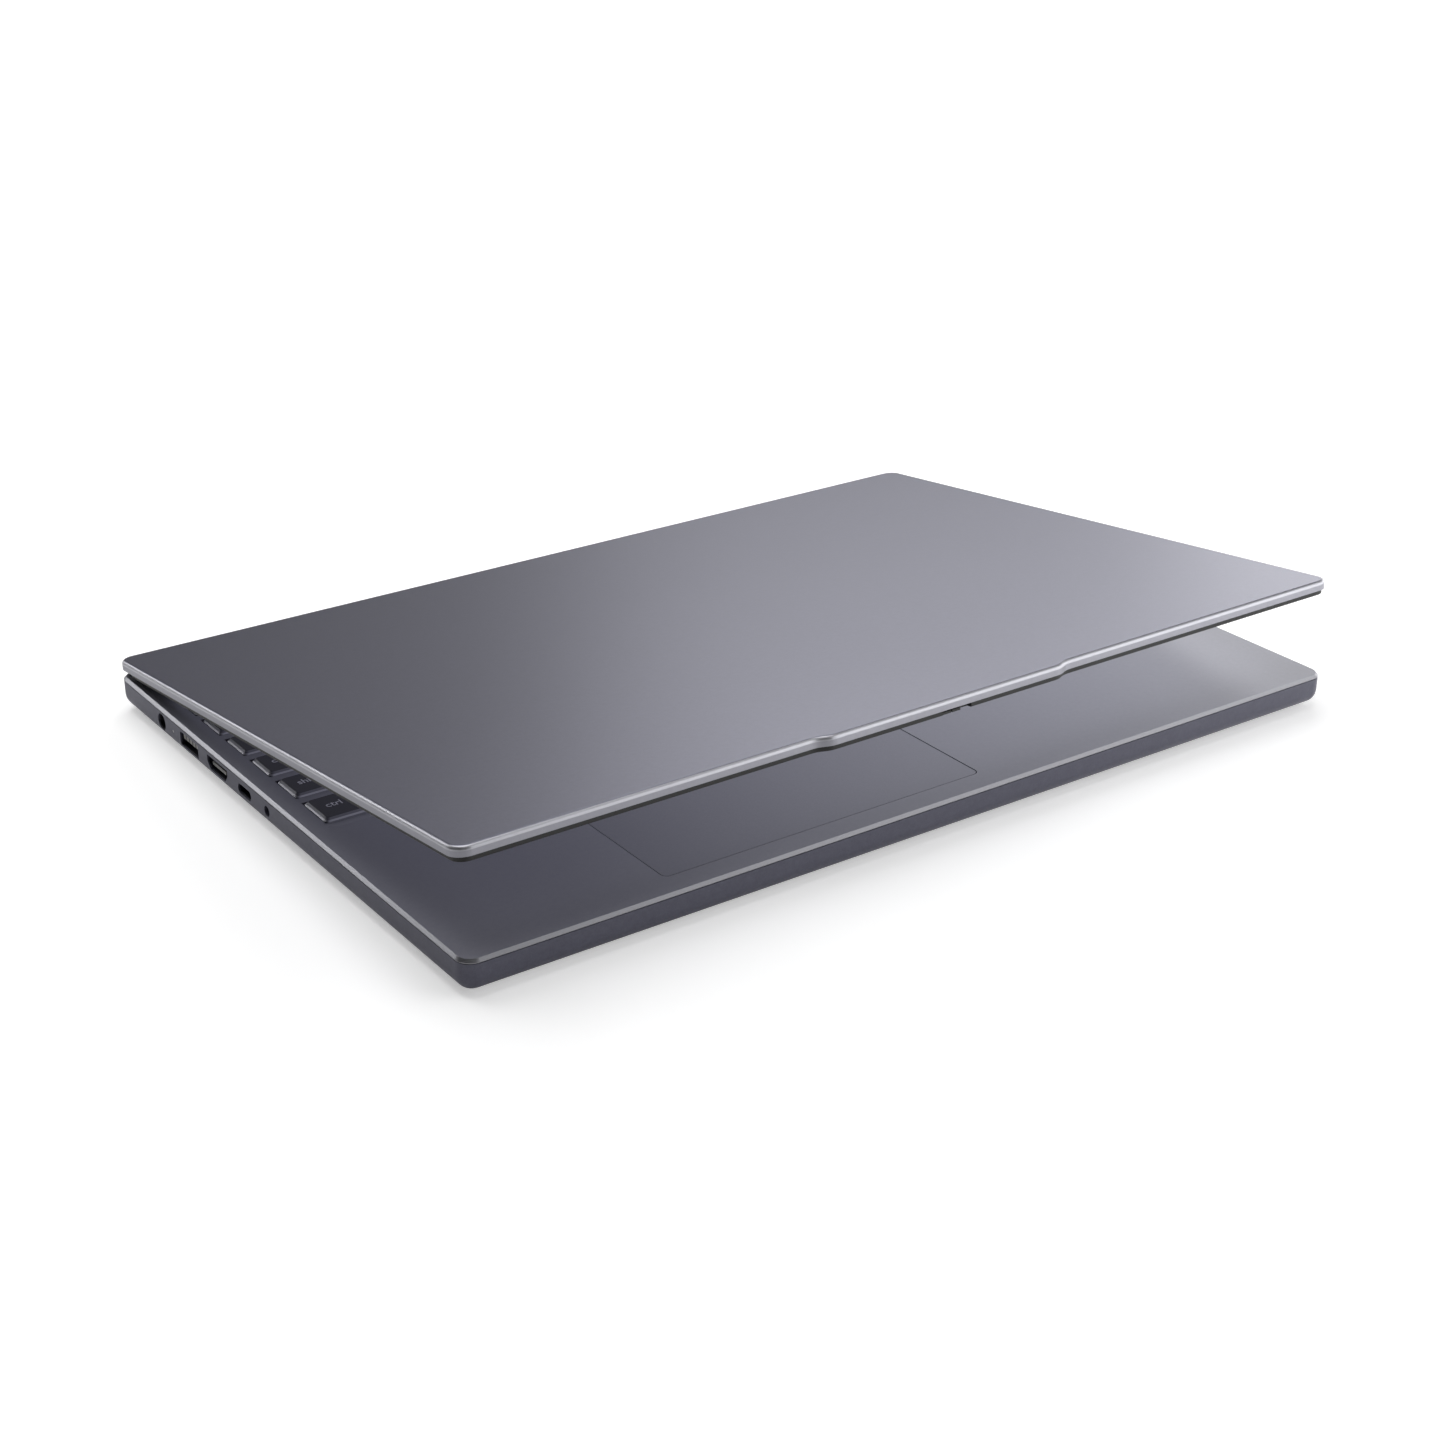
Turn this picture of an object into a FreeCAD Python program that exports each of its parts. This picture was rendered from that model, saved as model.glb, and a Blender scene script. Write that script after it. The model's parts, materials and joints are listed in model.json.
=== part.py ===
"""Slim clamshell laptop computer: casing, keyboard, screen, hinges and inner parts.

Millimetres, +Z up, +X to the user's right, +Y away from the user.  The origin lies
under the middle of the base, on the desk.  The lid is modelled shut and then turned
about its hinge to the part-open rest pose.
"""
import FreeCAD, Part
import math
import os

V = FreeCAD.Vector

# Overall size of the base and of the shut lid
WIDTH = 343.4
DEPTH = 239.0
CORNER_R = 5.2
FOOT_H = 1.3
BASE_H = 11.0
LID_GAP = 0.5
LID_T = 5.1
LID_REST_ANGLE = 7.0

# Casing of the base
WALL = 1.3
BOTTOM_ROUND = 4.8
DECK_T = 1.1
DECK_CHAMFER = 0.9
SEAM = 0.25
FIT = 0.15
LIP_T = 1.0
LIP_H = 0.8

# Keyboard: caps, frame, well and base plate
KEY_SIDE = 8.4
KEY_GAP = 4.3
KEY_DEPTH = 14.35
KEY_H = 1.15
KEY_INSET = 1.1
KEY_R = 1.6
KEY_TOP_DROP = 0.05
KEY_TRAVEL = 1.1
KEY_FIT = 0.35
KEYS_PER_ROW = 17.79
NUMPAD_SHARE = 0.863
TAB_SHARE = 1.3065
CAPS_SHARE = 1.586
SHIFT_SHARE = 2.097
FUNCTION_COUNT = 20
FUNCTION_DEPTH = 9.5
BOTTOM_ROW_EXTRA = 1.4
ARROW_GAP = 1.4
NUMBER_ROW_FROM_REAR = 49.6
WELL_SIDE = 1.6
WELL_DROP = 1.0
WELL_RAMP = 4.5
WELL_R = 4.0
FRAME_T = 0.7
LEDGE_T = 0.6
LEDGE_W = 1.2
COLLAR_T = 1.2
PLATE_T = 0.5
PLATE_SIDE = 15.5

# Touchpad and power button
TOUCH_W = 120.5
TOUCH_T = 1.1
TOUCH_R = 2.0
TOUCH_GAP = 0.35
TOUCH_DROP = 0.1
TOUCH_FRONT_MARGIN = 9.6
TOUCH_BACK_MARGIN = 9.0
TOUCH_CLICK = 0.5
TOUCH_BOARD_T = 0.8
TOUCH_BOARD_INSET = 1.0
BRACKET_T = 0.6
BRACKET_WALL = 2.5
BRACKET_ROOM = 3.0
BUTTON_W = 15.0
BUTTON_D = 6.0
BUTTON_FLANGE = 0.8
BUTTON_FLANGE_T = 0.7
BUTTON_FROM_SIDE = 21.7
BUTTON_FROM_REAR = 22.5

# Lid: metal cover with its forward tab, bezel, screen and camera
TAB_OUT = 2.1
TAB_HALF = 47.5
TAB_RUN = 7.6
LID_ROUND = 1.3
LID_WALL = 1.2
LID_SKIN = 1.0
BEZEL_T = 1.85
BEZEL_INSET = 0.9
BEZEL_LIP = 0.6
SCREEN_SIDE = 6.95
SCREEN_FROM_FRONT = 9.0
SCREEN_FROM_REAR = 24.0
PANEL_EDGE = 3.0
PANEL_FOOT = 8.0
PANEL_T = 3.1
LENS_R = 1.6
SHUTTER_X = -2.3
SHUTTER_TAB = 7.0
SHUTTER_TRAVEL = 3.8
SHUTTER_T = 0.4
BUMPER_R = 2.2

# Hinge: axis near the lid's rear edge, knuckles on the base, arms in the lid
HINGE_FROM_REAR = 0.3
HINGE_ABOVE_DECK = 2.9
HINGE_FROM_SIDE = 46.7
KNUCKLE_R = 1.9
KNUCKLE_L = 15.0
NECK_T = 1.4
PIN_R = 1.1
PIN_FIT = 0.05
ARM_L = 8.0
ARM_W = 23.0
ARM_T = 1.0
HINGE_ROOM = 0.4
CAP_D = 8.6
CAP_INSET = 2.2
BRACKET_PLATE_T = 1.2
BRACKET_PLATE_D = 17.0
BRACKET_BOSS = 1.1

# Sockets in the side walls, by their distance from the rear edge
PORT_BELOW_DECK = 4.9
PORT_SHELL = 0.25
PORT_RECESS = 0.5
PORT_FIT = 0.15
PORT_DEPTH = 13.0
USB_A_W = 13.2
USB_A_H = 4.3
HDMI_W = 14.2
HDMI_H = 4.0
USB_C_W = 8.7
USB_C_H = 2.7
JACK_R = 1.8
JACK_NOSE = 3.0
JACK_NOSE_WALL = 0.9
JACK_EASE = 0.15
JACK_DEPTH = 12.0
INLET_R = 2.6
INLET_PIN_R = 0.8
LIGHT_R = 0.5
INLET_FROM_REAR = 35.4
LIGHT_FROM_REAR = 44.4
USB_A_FROM_REAR = 57.5
HDMI_FROM_REAR = 79.3
USB_C_FROM_REAR = 99.5
JACK_FROM_REAR = 115.6
RIGHT_USB_FROM_REAR = 64.5
CARD_FROM_REAR = 102.5
CARD_W = 25.0
CARD_H = 2.4

# Circuit boards, cooling, battery and speakers
BOARD_T = 1.0
BOARD_SIDE = 4.7
BOARD_FROM_REAR = 25.5
BOARD_D = 110.0
IO_BOARD_W = 26.0
IO_BOARD_D = 72.0
FAN_R = 24.0
FAN_WALL = 0.8
FAN_FROM_HINGE = 35.0
FAN_FROM_REAR = 50.5
FAN_INLET_R = 15.0
FAN_BLADES = 19
BLADE_T = 0.6
FAN_SPINDLE_R = 1.0
HUB_R = 8.0
FIN_COUNT = 22
FIN_T = 0.4
FIN_D = 9.0
PIPE_W = 8.0
PIPE_T = 1.6
PIPE_BEND = 12.0
CHIP_SHARE = (0.617, 0.5545)
CHIP_H = 1.2
PACKAGE_W = 46.0
PACKAGE_D = 28.0
PACKAGE_T = 0.6
DIE_W = 22.0
DIE_D = 12.0
COLD_PLATE_W = 44.0
COLD_PLATE_D = 34.0
COLD_PLATE_T = 1.0
CARD_BOARD_T = 0.8
CARD_LIFT = 1.2
CARD_CHIP_H = 1.2
CARD_ROOM = 8.0
MEMORY_W = 68.0
MEMORY_D = 30.0
DRIVE_W = 42.0
DRIVE_D = 22.0
RADIO_W = 30.0
RADIO_D = 22.0
BATTERY_CELLS = 4
BATTERY_ROOM = 10.0
SPEAKER_FROM_SIDE = 36.7
SPEAKER_W = 34.0
SPEAKER_D = 46.0
SPEAKER_H = 5.0
SEAT = 0.2

# Screws, feet and vents
SCREW_R = 0.95
SCREW_HEAD_R = 2.2
SCREW_HEAD_H = 0.9
SCREW_FIT = 0.1
POST_R = 2.6
COVER_BOSS_H = 1.0
POST_INSET_X = 9.7
POST_INSET_FRONT = 7.5
POST_INSET_REAR = 12.5
FRONT_POST_ROOM = (27.0, 38.0)
FOOT_W = 8.0
REAR_FOOT_L = 240.0
FRONT_FOOT_L = 48.0
FOOT_INSET = 19.5
FRONT_FOOT_INSET = 11.5
GRILLE_T = 1.0
GRILLE_FLANGE = 1.2
GRILLE_SLOT = 1.6
GRILLE_PITCH = 3.6

# Levels and lines that follow from the sizes above
HALF_W = WIDTH / 2
HALF_D = DEPTH / 2
FLOOR = FOOT_H + WALL
BASE_TOP = FOOT_H + BASE_H
DECK_Z = BASE_TOP - DECK_T
COVER_TOP = DECK_Z - SEAM
FRAME_TOP = BASE_TOP - WELL_DROP
FRAME_Z = FRAME_TOP - FRAME_T
LEDGE_Z = FRAME_Z - LEDGE_T
KEY_TOP = BASE_TOP - KEY_TOP_DROP
KEY_Z = KEY_TOP - KEY_H
PLATE_TOP = KEY_Z - KEY_TRAVEL - 0.3
PLATE_Z = PLATE_TOP - PLATE_T
ROW_PITCH = KEY_DEPTH + KEY_GAP
KEYS_LEFT = KEY_SIDE - HALF_W
KEYS_W = WIDTH - 2 * KEY_SIDE
LETTER_PITCH = (KEYS_W + KEY_GAP) / KEYS_PER_ROW
NUMPAD_PITCH = NUMPAD_SHARE * LETTER_PITCH
TAB_CELL = TAB_SHARE * LETTER_PITCH
CAPS_CELL = CAPS_SHARE * LETTER_PITCH
SHIFT_CELL = SHIFT_SHARE * LETTER_PITCH
MAIN_W = KEYS_W + KEY_GAP - 4 * NUMPAD_PITCH
NUMBER_BACK = HALF_D - NUMBER_ROW_FROM_REAR
WELL_HALF = HALF_W - KEY_SIDE + WELL_SIDE
WELL_BACK = NUMBER_BACK + KEY_GAP + FUNCTION_DEPTH + WELL_SIDE
WELL_FRONT = NUMBER_BACK - 4 * ROW_PITCH - KEY_DEPTH - BOTTOM_ROW_EXTRA - WELL_SIDE
SPACE_CELL = MAIN_W - TAB_CELL - 8 * LETTER_PITCH
SPACE_MID = KEYS_LEFT + TAB_CELL + 3 * LETTER_PITCH + (SPACE_CELL - KEY_GAP) / 2
TOUCH_X = (SPACE_MID - TOUCH_W / 2, SPACE_MID + TOUCH_W / 2)
TOUCH_Y = (TOUCH_FRONT_MARGIN - HALF_D, WELL_FRONT - WELL_RAMP - TOUCH_BACK_MARGIN)
TOUCH_TOP = BASE_TOP - TOUCH_DROP
TOUCH_Z = TOUCH_TOP - TOUCH_T
TOUCH_BOARD_Z = TOUCH_Z - TOUCH_BOARD_T
TOUCH_SWITCH_Z = TOUCH_BOARD_Z - 0.6
BRACKET_TOP = TOUCH_SWITCH_Z - TOUCH_CLICK - 0.15
BRACKET_Z = BRACKET_TOP - BRACKET_T
BUTTON_X = HALF_W - BUTTON_FROM_SIDE
BUTTON_Y = HALF_D - BUTTON_FROM_REAR
LID_Z = BASE_TOP + LID_GAP
LID_TOP = LID_Z + LID_T
METAL_Z = LID_Z + BEZEL_T
SKIN_Z = LID_TOP - LID_SKIN
PANEL_Z = LID_Z + BEZEL_LIP + 0.05
SCREEN_X = (SCREEN_SIDE - HALF_W, HALF_W - SCREEN_SIDE)
SCREEN_Y = (SCREEN_FROM_FRONT - HALF_D, HALF_D - SCREEN_FROM_REAR)
PANEL_X = (SCREEN_X[0] - PANEL_EDGE, SCREEN_X[1] + PANEL_EDGE)
PANEL_Y = (SCREEN_Y[0] - PANEL_EDGE, SCREEN_Y[1] + PANEL_FOOT)
HINGE_Y = HALF_D - HINGE_FROM_REAR
HINGE_Z = BASE_TOP + HINGE_ABOVE_DECK
HINGE_X = HALF_W - HINGE_FROM_SIDE
KNUCKLE_X = (HINGE_X - KNUCKLE_L / 2, HINGE_X + KNUCKLE_L / 2)
ARM_X = (KNUCKLE_X[0] - HINGE_ROOM - ARM_L, KNUCKLE_X[0] - HINGE_ROOM)
CAP_Y = (HALF_D - CAP_D - 0.7, HALF_D - 0.7)
BRACKET_PLATE_TOP = DECK_Z - BRACKET_BOSS
PORT_Z = BASE_TOP - PORT_BELOW_DECK
BOARD_TOP = PORT_Z - USB_A_H / 2 - PORT_SHELL
BOARD_Z = BOARD_TOP - BOARD_T
BOARD_Y = (HALF_D - BOARD_FROM_REAR - BOARD_D, HALF_D - BOARD_FROM_REAR)
FAN_X = HINGE_X - FAN_FROM_HINGE
FAN_Y = HALF_D - FAN_FROM_REAR
FAN_Z = FLOOR + 0.4
FAN_TOP = PLATE_Z - 0.4
BOARD_X = (BOARD_SIDE - HALF_W, FAN_X - FAN_R - 11.0)
IO_X = (HALF_W - BOARD_SIDE - IO_BOARD_W, HALF_W - BOARD_SIDE)
IO_Y = (HALF_D - RIGHT_USB_FROM_REAR + 12.0 - IO_BOARD_D, HALF_D - RIGHT_USB_FROM_REAR + 12.0)
CHIP_TOP = BOARD_TOP + CHIP_H
PIPE_Z = CHIP_TOP + COLD_PLATE_T
PIPE_TOP = PIPE_Z + PIPE_T
FIN_Y = (FAN_Y + FAN_R + 2.5, FAN_Y + FAN_R + 2.5 + FIN_D)
BATTERY_Y = (TOUCH_Y[0] + 2.0, BOARD_Y[0] - 14.0)
BATTERY_TOP = BRACKET_Z - 0.4
SPEAKER_X = HALF_W - SPEAKER_FROM_SIDE
BATTERY_HALF = SPEAKER_X - SPEAKER_W / 2 - BATTERY_ROOM
POSTS = (
    (POST_INSET_X - HALF_W, POST_INSET_FRONT - HALF_D),
    (TOUCH_X[0] - FRONT_POST_ROOM[0], POST_INSET_FRONT - HALF_D),
    (TOUCH_X[1] + FRONT_POST_ROOM[1], POST_INSET_FRONT - HALF_D),
    (HALF_W - POST_INSET_X, POST_INSET_FRONT - HALF_D),
    (POST_INSET_X - HALF_W, BATTERY_Y[1] + 3.0),
    (HALF_W - POST_INSET_X, BATTERY_Y[1] + 3.0),
    (POST_INSET_X - HALF_W, HALF_D - POST_INSET_REAR),
    (-HALF_W + 112.0, HALF_D - POST_INSET_REAR),
    (BOARD_X[1] - 15.0, HALF_D - POST_INSET_REAR),
    (HALF_W - POST_INSET_X, HALF_D - POST_INSET_REAR),
)
COVER_BOSS_TOP = FLOOR + COVER_BOSS_H


def block(x, y, z):
    """A box between three pairs of limits."""
    return Part.makeBox(x[1] - x[0], y[1] - y[0], z[1] - z[0], V(x[0], y[0], z[0]))


def arc_edge(first, middle, last):
    """A circular arc through three points."""
    return Part.Arc(first, middle, last).toShape()


def rounded_wire(x, y, z, radius):
    """A level rectangle with round corners at height z."""
    corners = (
        (x[1] - radius, y[0] + radius, -90.0),
        (x[1] - radius, y[1] - radius, 0.0),
        (x[0] + radius, y[1] - radius, 90.0),
        (x[0] + radius, y[0] + radius, 180.0),
    )
    arcs = []
    for cx, cy, start in corners:
        turn = [math.radians(start + step) for step in (0.0, 45.0, 90.0)]
        points = [V(cx + radius * math.cos(a), cy + radius * math.sin(a), z) for a in turn]
        arcs.append(arc_edge(*points))
    edges = []
    for arc, after in zip(arcs, arcs[1:] + arcs[:1]):
        edges.append(arc)
        start = arc.lastVertex().Point
        end = after.firstVertex().Point
        if start.distanceToPoint(end) > 1e-6:
            edges.append(Part.makeLine(start, end))
    return Part.Wire(edges)


def slab(x, y, z, radius):
    """An upright prism on a round-cornered rectangle."""
    face = Part.Face(rounded_wire(x, y, z[0], radius))
    return face.extrude(V(0, 0, z[1] - z[0]))


def section(points, x):
    """A prism along X on a polygon of (y, z) points."""
    loop = [V(x[0], y, z) for y, z in points]
    face = Part.Face(Part.makePolygon(loop + loop[:1]))
    return face.extrude(V(x[1] - x[0], 0, 0))


def rod_x(y, z, radius, x):
    """A round bar along X."""
    return Part.makeCylinder(radius, x[1] - x[0], V(x[0], y, z), V(1, 0, 0))


def rod_z(x, y, radius, z):
    """A round bar along Z."""
    return Part.makeCylinder(radius, z[1] - z[0], V(x, y, z[0]), V(0, 0, 1))


def level_edges(shape, z):
    """The edges that lie wholly at height z."""
    return [e for e in shape.Edges if abs(e.BoundBox.ZMin - z) < 1e-6 and abs(e.BoundBox.ZMax - z) < 1e-6]


def grow(limits, by):
    """A pair of limits moved apart by the same amount at both ends."""
    return (limits[0] - by, limits[1] + by)


def mirrored(shape):
    """The same piece for the other side of the computer."""
    return shape.mirror(V(0, 0, 0), V(1, 0, 0))


def on_side(shape):
    """Turn a piece drawn as (y, z, depth from the wall) on to the left side wall."""
    place = FreeCAD.Placement(V(-HALF_W, 0, 0), FreeCAD.Rotation(V(1, 1, 1), 120))
    return shape.transformed(place.toMatrix(), True)


def opened(shape):
    """Turn a lid piece about the hinge from shut to the rest pose."""
    turned = shape.copy()
    turned.rotate(V(0, HINGE_Y, HINGE_Z), V(1, 0, 0), -LID_REST_ANGLE)
    return turned


def save(node, *solids):
    """Write one node's solids."""
    shape = solids[0] if len(solids) == 1 else Part.makeCompound(list(solids))
    shape.exportStep("parts/" + node + ".step")


def key_caps():
    """The plan of every key cap, as limits in X and Y, under its node's name."""
    caps = {}

    def row_span(row):
        back = NUMBER_BACK - (row - 1) * ROW_PITCH
        if row == 0:
            return (NUMBER_BACK + KEY_GAP, NUMBER_BACK + KEY_GAP + FUNCTION_DEPTH)
        depth = KEY_DEPTH + BOTTOM_ROW_EXTRA if row == 5 else KEY_DEPTH
        return (back - depth, back)

    def lay(row, left, cells):
        x = left
        for node, cell in cells:
            caps.setdefault(node, []).append(((x, x + cell - KEY_GAP), row_span(row)))
            x += cell

    letter = ("letter_keys", LETTER_PITCH)
    modifier = ("modifier_keys", LETTER_PITCH)
    function_cell = (KEYS_W + KEY_GAP) / FUNCTION_COUNT
    lay(0, KEYS_LEFT, [("function_keys", function_cell)] * FUNCTION_COUNT)
    backspace = ("number_keys", MAIN_W - 13 * LETTER_PITCH)
    lay(1, KEYS_LEFT, [("number_keys", LETTER_PITCH)] * 13 + [backspace])
    backslash = ("letter_keys", MAIN_W - TAB_CELL - 12 * LETTER_PITCH)
    lay(2, KEYS_LEFT, [("tab_key", TAB_CELL)] + [letter] * 12 + [backslash])
    enter = ("enter_key", MAIN_W - CAPS_CELL - 11 * LETTER_PITCH)
    lay(3, KEYS_LEFT, [("caps_lock_key", CAPS_CELL)] + [letter] * 11 + [enter])
    right_shift = ("modifier_keys", MAIN_W - SHIFT_CELL - 10 * LETTER_PITCH)
    lay(4, KEYS_LEFT, [("left_shift_key", SHIFT_CELL)] + [letter] * 10 + [right_shift])
    ends = [("left_ctrl_key", TAB_CELL)] + [modifier] * 3 + [("space_bar", SPACE_CELL)]
    lay(5, KEYS_LEFT, ends + [modifier] * 3)

    arrows_left = KEYS_LEFT + MAIN_W - 2 * LETTER_PITCH
    front, back = row_span(5)
    half = (back - front - ARROW_GAP) / 2
    stacked = (arrows_left, arrows_left + LETTER_PITCH - KEY_GAP)
    caps["modifier_keys"].append((stacked, (front, front + half)))
    caps["modifier_keys"].append((stacked, (back - half, back)))
    lay(5, arrows_left + LETTER_PITCH, [modifier])

    numpad_left = KEYS_LEFT + MAIN_W
    numpad = ("numpad_keys", NUMPAD_PITCH)
    for row, count in ((1, 4), (2, 3), (3, 3), (4, 3)):
        lay(row, numpad_left, [numpad] * count)
    lay(5, numpad_left, [("numpad_keys", 2 * NUMPAD_PITCH), numpad])
    last = numpad_left + 3 * NUMPAD_PITCH
    tall = (last, last + NUMPAD_PITCH - KEY_GAP)
    caps["numpad_keys"].append((tall, (row_span(3)[0], row_span(2)[1])))
    caps["numpad_keys"].append((tall, (row_span(5)[0], row_span(4)[1])))
    return caps


def key_cap(x, y):
    """One cap: a low pyramid with round corners, wide at its skirt."""
    skirt = rounded_wire(x, y, KEY_Z, KEY_R)
    top = rounded_wire(grow(x, -KEY_INSET), grow(y, -KEY_INSET), KEY_TOP, KEY_R - KEY_INSET / 2)
    return Part.makeLoft([skirt, top], True, True)


def keyboard():
    """Key caps, the frame whose windows they pass through, and the plate beneath."""
    caps = key_caps()
    windows = []
    for node, plans in caps.items():
        save(node, *[key_cap(x, y) for x, y in plans])
        for x, y in plans:
            windows.append(block(grow(x, KEY_FIT), grow(y, KEY_FIT), (FRAME_Z - 1, FRAME_TOP + 1)))
    frame = slab(
        (FIT - WELL_HALF, WELL_HALF - FIT),
        (WELL_FRONT + FIT, WELL_BACK - FIT),
        (FRAME_Z, FRAME_TOP),
        WELL_R - FIT,
    )
    save("keyboard_frame", frame.cut(Part.makeCompound(windows)))

    plate_x = (PLATE_SIDE - HALF_W, HALF_W - PLATE_SIDE)
    plate_y = (WELL_FRONT - 1.0, WELL_BACK + 1.0)
    plate = block(plate_x, plate_y, (PLATE_Z, PLATE_TOP))
    front_rim = block(plate_x, (plate_y[0], WELL_FRONT + LEDGE_W), (PLATE_TOP, LEDGE_Z))
    back_rim = block(plate_x, (WELL_BACK - LEDGE_W, plate_y[1]), (PLATE_TOP, LEDGE_Z))
    save("keyboard_plate", plate.fuse([front_rim, back_rim]).removeSplitter())


def palm_rest():
    """Upper case: chamfered deck with the sunken key well, touchpad window and screw posts."""
    plate = slab((-HALF_W, HALF_W), (-HALF_D, HALF_D), (DECK_Z, BASE_TOP), CORNER_R)
    plate = plate.makeChamfer(DECK_CHAMFER, level_edges(plate, BASE_TOP))
    inset = WALL + FIT
    lip_z = (DECK_Z - LIP_H, DECK_Z)
    lip = slab(grow((-HALF_W, HALF_W), -inset), grow((-HALF_D, HALF_D), -inset), lip_z, CORNER_R - inset)
    inset += LIP_T
    inner = slab(grow((-HALF_W, HALF_W), -inset), grow((-HALF_D, HALF_D), -inset), lip_z, CORNER_R - inset)
    well_x = (-WELL_HALF, WELL_HALF)
    well_y = (WELL_FRONT, WELL_BACK)
    collar = slab(grow(well_x, COLLAR_T), grow(well_y, COLLAR_T), (LEDGE_Z, DECK_Z), WELL_R + COLLAR_T)
    added = [lip.cut(inner), collar]
    for x, y in POSTS:
        added.append(rod_z(x, y, POST_R, (COVER_BOSS_TOP, DECK_Z)))
    for x, y in hinge_screw_places():
        added.append(rod_z(x, y, POST_R, (BRACKET_PLATE_TOP, DECK_Z)))
    body = plate.fuse(added)

    ramp_front = WELL_FRONT - WELL_RAMP
    over = BASE_TOP + 1.0
    profile = [
        (ramp_front, BASE_TOP),
        (WELL_FRONT, FRAME_TOP),
        (WELL_BACK, FRAME_TOP),
        (WELL_BACK, over),
        (ramp_front, over),
    ]
    ramp = section(profile, well_x)
    ramp = ramp.common(slab(well_x, (ramp_front, WELL_BACK), (FRAME_TOP - 1.0, over + 1.0), WELL_R))
    seat = slab(well_x, well_y, (FRAME_Z, FRAME_TOP + 0.1), WELL_R)
    opening = block(grow(well_x, -LEDGE_W), grow(well_y, -LEDGE_W), (LEDGE_Z - 1.0, BASE_TOP))
    through = (DECK_Z - 1, over)
    window = slab(grow(TOUCH_X, TOUCH_GAP), grow(TOUCH_Y, TOUCH_GAP), through, TOUCH_R + TOUCH_GAP)
    button = slab(
        grow((BUTTON_X - BUTTON_W / 2, BUTTON_X + BUTTON_W / 2), 0.3),
        grow((BUTTON_Y - BUTTON_D / 2, BUTTON_Y + BUTTON_D / 2), 0.3),
        through,
        BUTTON_D / 2,
    )
    cuts = [ramp, seat, opening, window, button]
    neck_reach = NECK_T / 2 * math.sqrt(2) + HINGE_ROOM
    slot_y = (HINGE_Y - (HINGE_Z - DECK_Z) - neck_reach, HINGE_Y - (HINGE_Z - BASE_TOP) + neck_reach)
    slot = block(grow(KNUCKLE_X, HINGE_ROOM), slot_y, (DECK_Z - LIP_H - 0.1, over))
    cuts += [slot, mirrored(slot)]
    for x, y in POSTS:
        cuts.append(rod_z(x, y, SCREW_R + SCREW_FIT, (COVER_BOSS_TOP, COVER_BOSS_TOP + 5.0)))
    for x, y in hinge_screw_places():
        cuts.append(rod_z(x, y, SCREW_R + SCREW_FIT, (BRACKET_PLATE_TOP, DECK_Z + 0.4)))
    save("palm_rest", body.cut(cuts).removeSplitter())


def hinge_screw_places():
    """Where the two screws of each base bracket stand."""
    places = []
    for side in (-1, 1):
        for along in (-4.0, 4.0):
            places.append((side * HINGE_X + along, HINGE_Y - BRACKET_PLATE_D + 1.0))
    return places


def arm_screw_places():
    """Where the two screws of each lid arm stand, with the lid shut."""
    places = []
    for side in (-1, 1):
        for from_end in (4.0, 11.0):
            x = ARM_X[1] - ARM_W + from_end
            places.append((side * x, CAP_Y[0] - 1.5 + 4.0))
    return places


def board_screw_places():
    """Where screws hold the two circuit boards on their standoffs."""
    x = (BOARD_X[0] + 17.0, BOARD_X[0] + 0.482 * (BOARD_X[1] - BOARD_X[0]), BOARD_X[1] - 9.0)
    y = (BOARD_Y[0] + 5.0, BOARD_Y[1] - 5.0)
    places = [(px, py) for px in x for py in y]
    places.append((IO_X[0] + 5.0, IO_Y[1] - 5.0))
    places.append((IO_X[0] + 5.0, IO_Y[1] - 19.0))
    return places


def bottom_cover():
    """Lower case: a round-edged tray with port windows, a nose for the audio plug, vents and standoffs."""
    full_x = (-HALF_W, HALF_W)
    full_y = (-HALF_D, HALF_D)
    outer = slab(full_x, full_y, (FOOT_H, COVER_TOP), CORNER_R)
    outer = outer.makeFillet(BOTTOM_ROUND, level_edges(outer, FOOT_H))
    inner = slab(grow(full_x, -WALL), grow(full_y, -WALL), (FLOOR, COVER_TOP + 1), CORNER_R - WALL)
    inner = inner.makeFillet(BOTTOM_ROUND - WALL, level_edges(inner, FLOOR))
    body = outer.cut(inner)

    added = [rod_z(x, y, POST_R + 0.8, (FLOOR - 0.1, COVER_BOSS_TOP)) for x, y in POSTS]
    added += [rod_z(x, y, POST_R, (FLOOR - 0.1, BOARD_Z)) for x, y in board_screw_places()]
    nose_x = (WALL / 2 - HALF_W, JACK_NOSE - HALF_W)
    added.append(rod_x(HALF_D - JACK_FROM_REAR, PORT_Z, JACK_R + JACK_NOSE_WALL, nose_x))
    body = body.fuse(added)

    cuts = []
    head_z = (FOOT_H - 1, FOOT_H + SCREW_HEAD_H + SCREW_FIT)
    for x, y in POSTS:
        cuts.append(rod_z(x, y, SCREW_R + SCREW_FIT, (FOOT_H - 1, COVER_BOSS_TOP + 1)))
        cuts.append(rod_z(x, y, SCREW_HEAD_R + 2 * SCREW_FIT, head_z))
    for x, y in board_screw_places():
        cuts.append(rod_z(x, y, SCREW_R + SCREW_FIT, (FLOOR, BOARD_Z + 1)))
    for profile in left_mouths(PORT_SHELL + PORT_FIT):
        cuts.append(on_side(profile))
    for profile in right_mouths(PORT_SHELL + PORT_FIT):
        cuts.append(mirrored(on_side(profile)))
    for index in range(exhaust_count()):
        x = FAN_X - FAN_R + 2.0 + index * 4.8
        cuts.append(block((x, x + 3.2), (HALF_D - 2 * WALL, HALF_D + 1), (FLOOR + 1.4, COVER_TOP - 2.6)))
    for x, y in grille_plans():
        cuts.append(slab(x, y, (FOOT_H - 1, FLOOR + 1), 3.0))
    save("bottom_cover", body.cut(cuts).removeSplitter())


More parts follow.
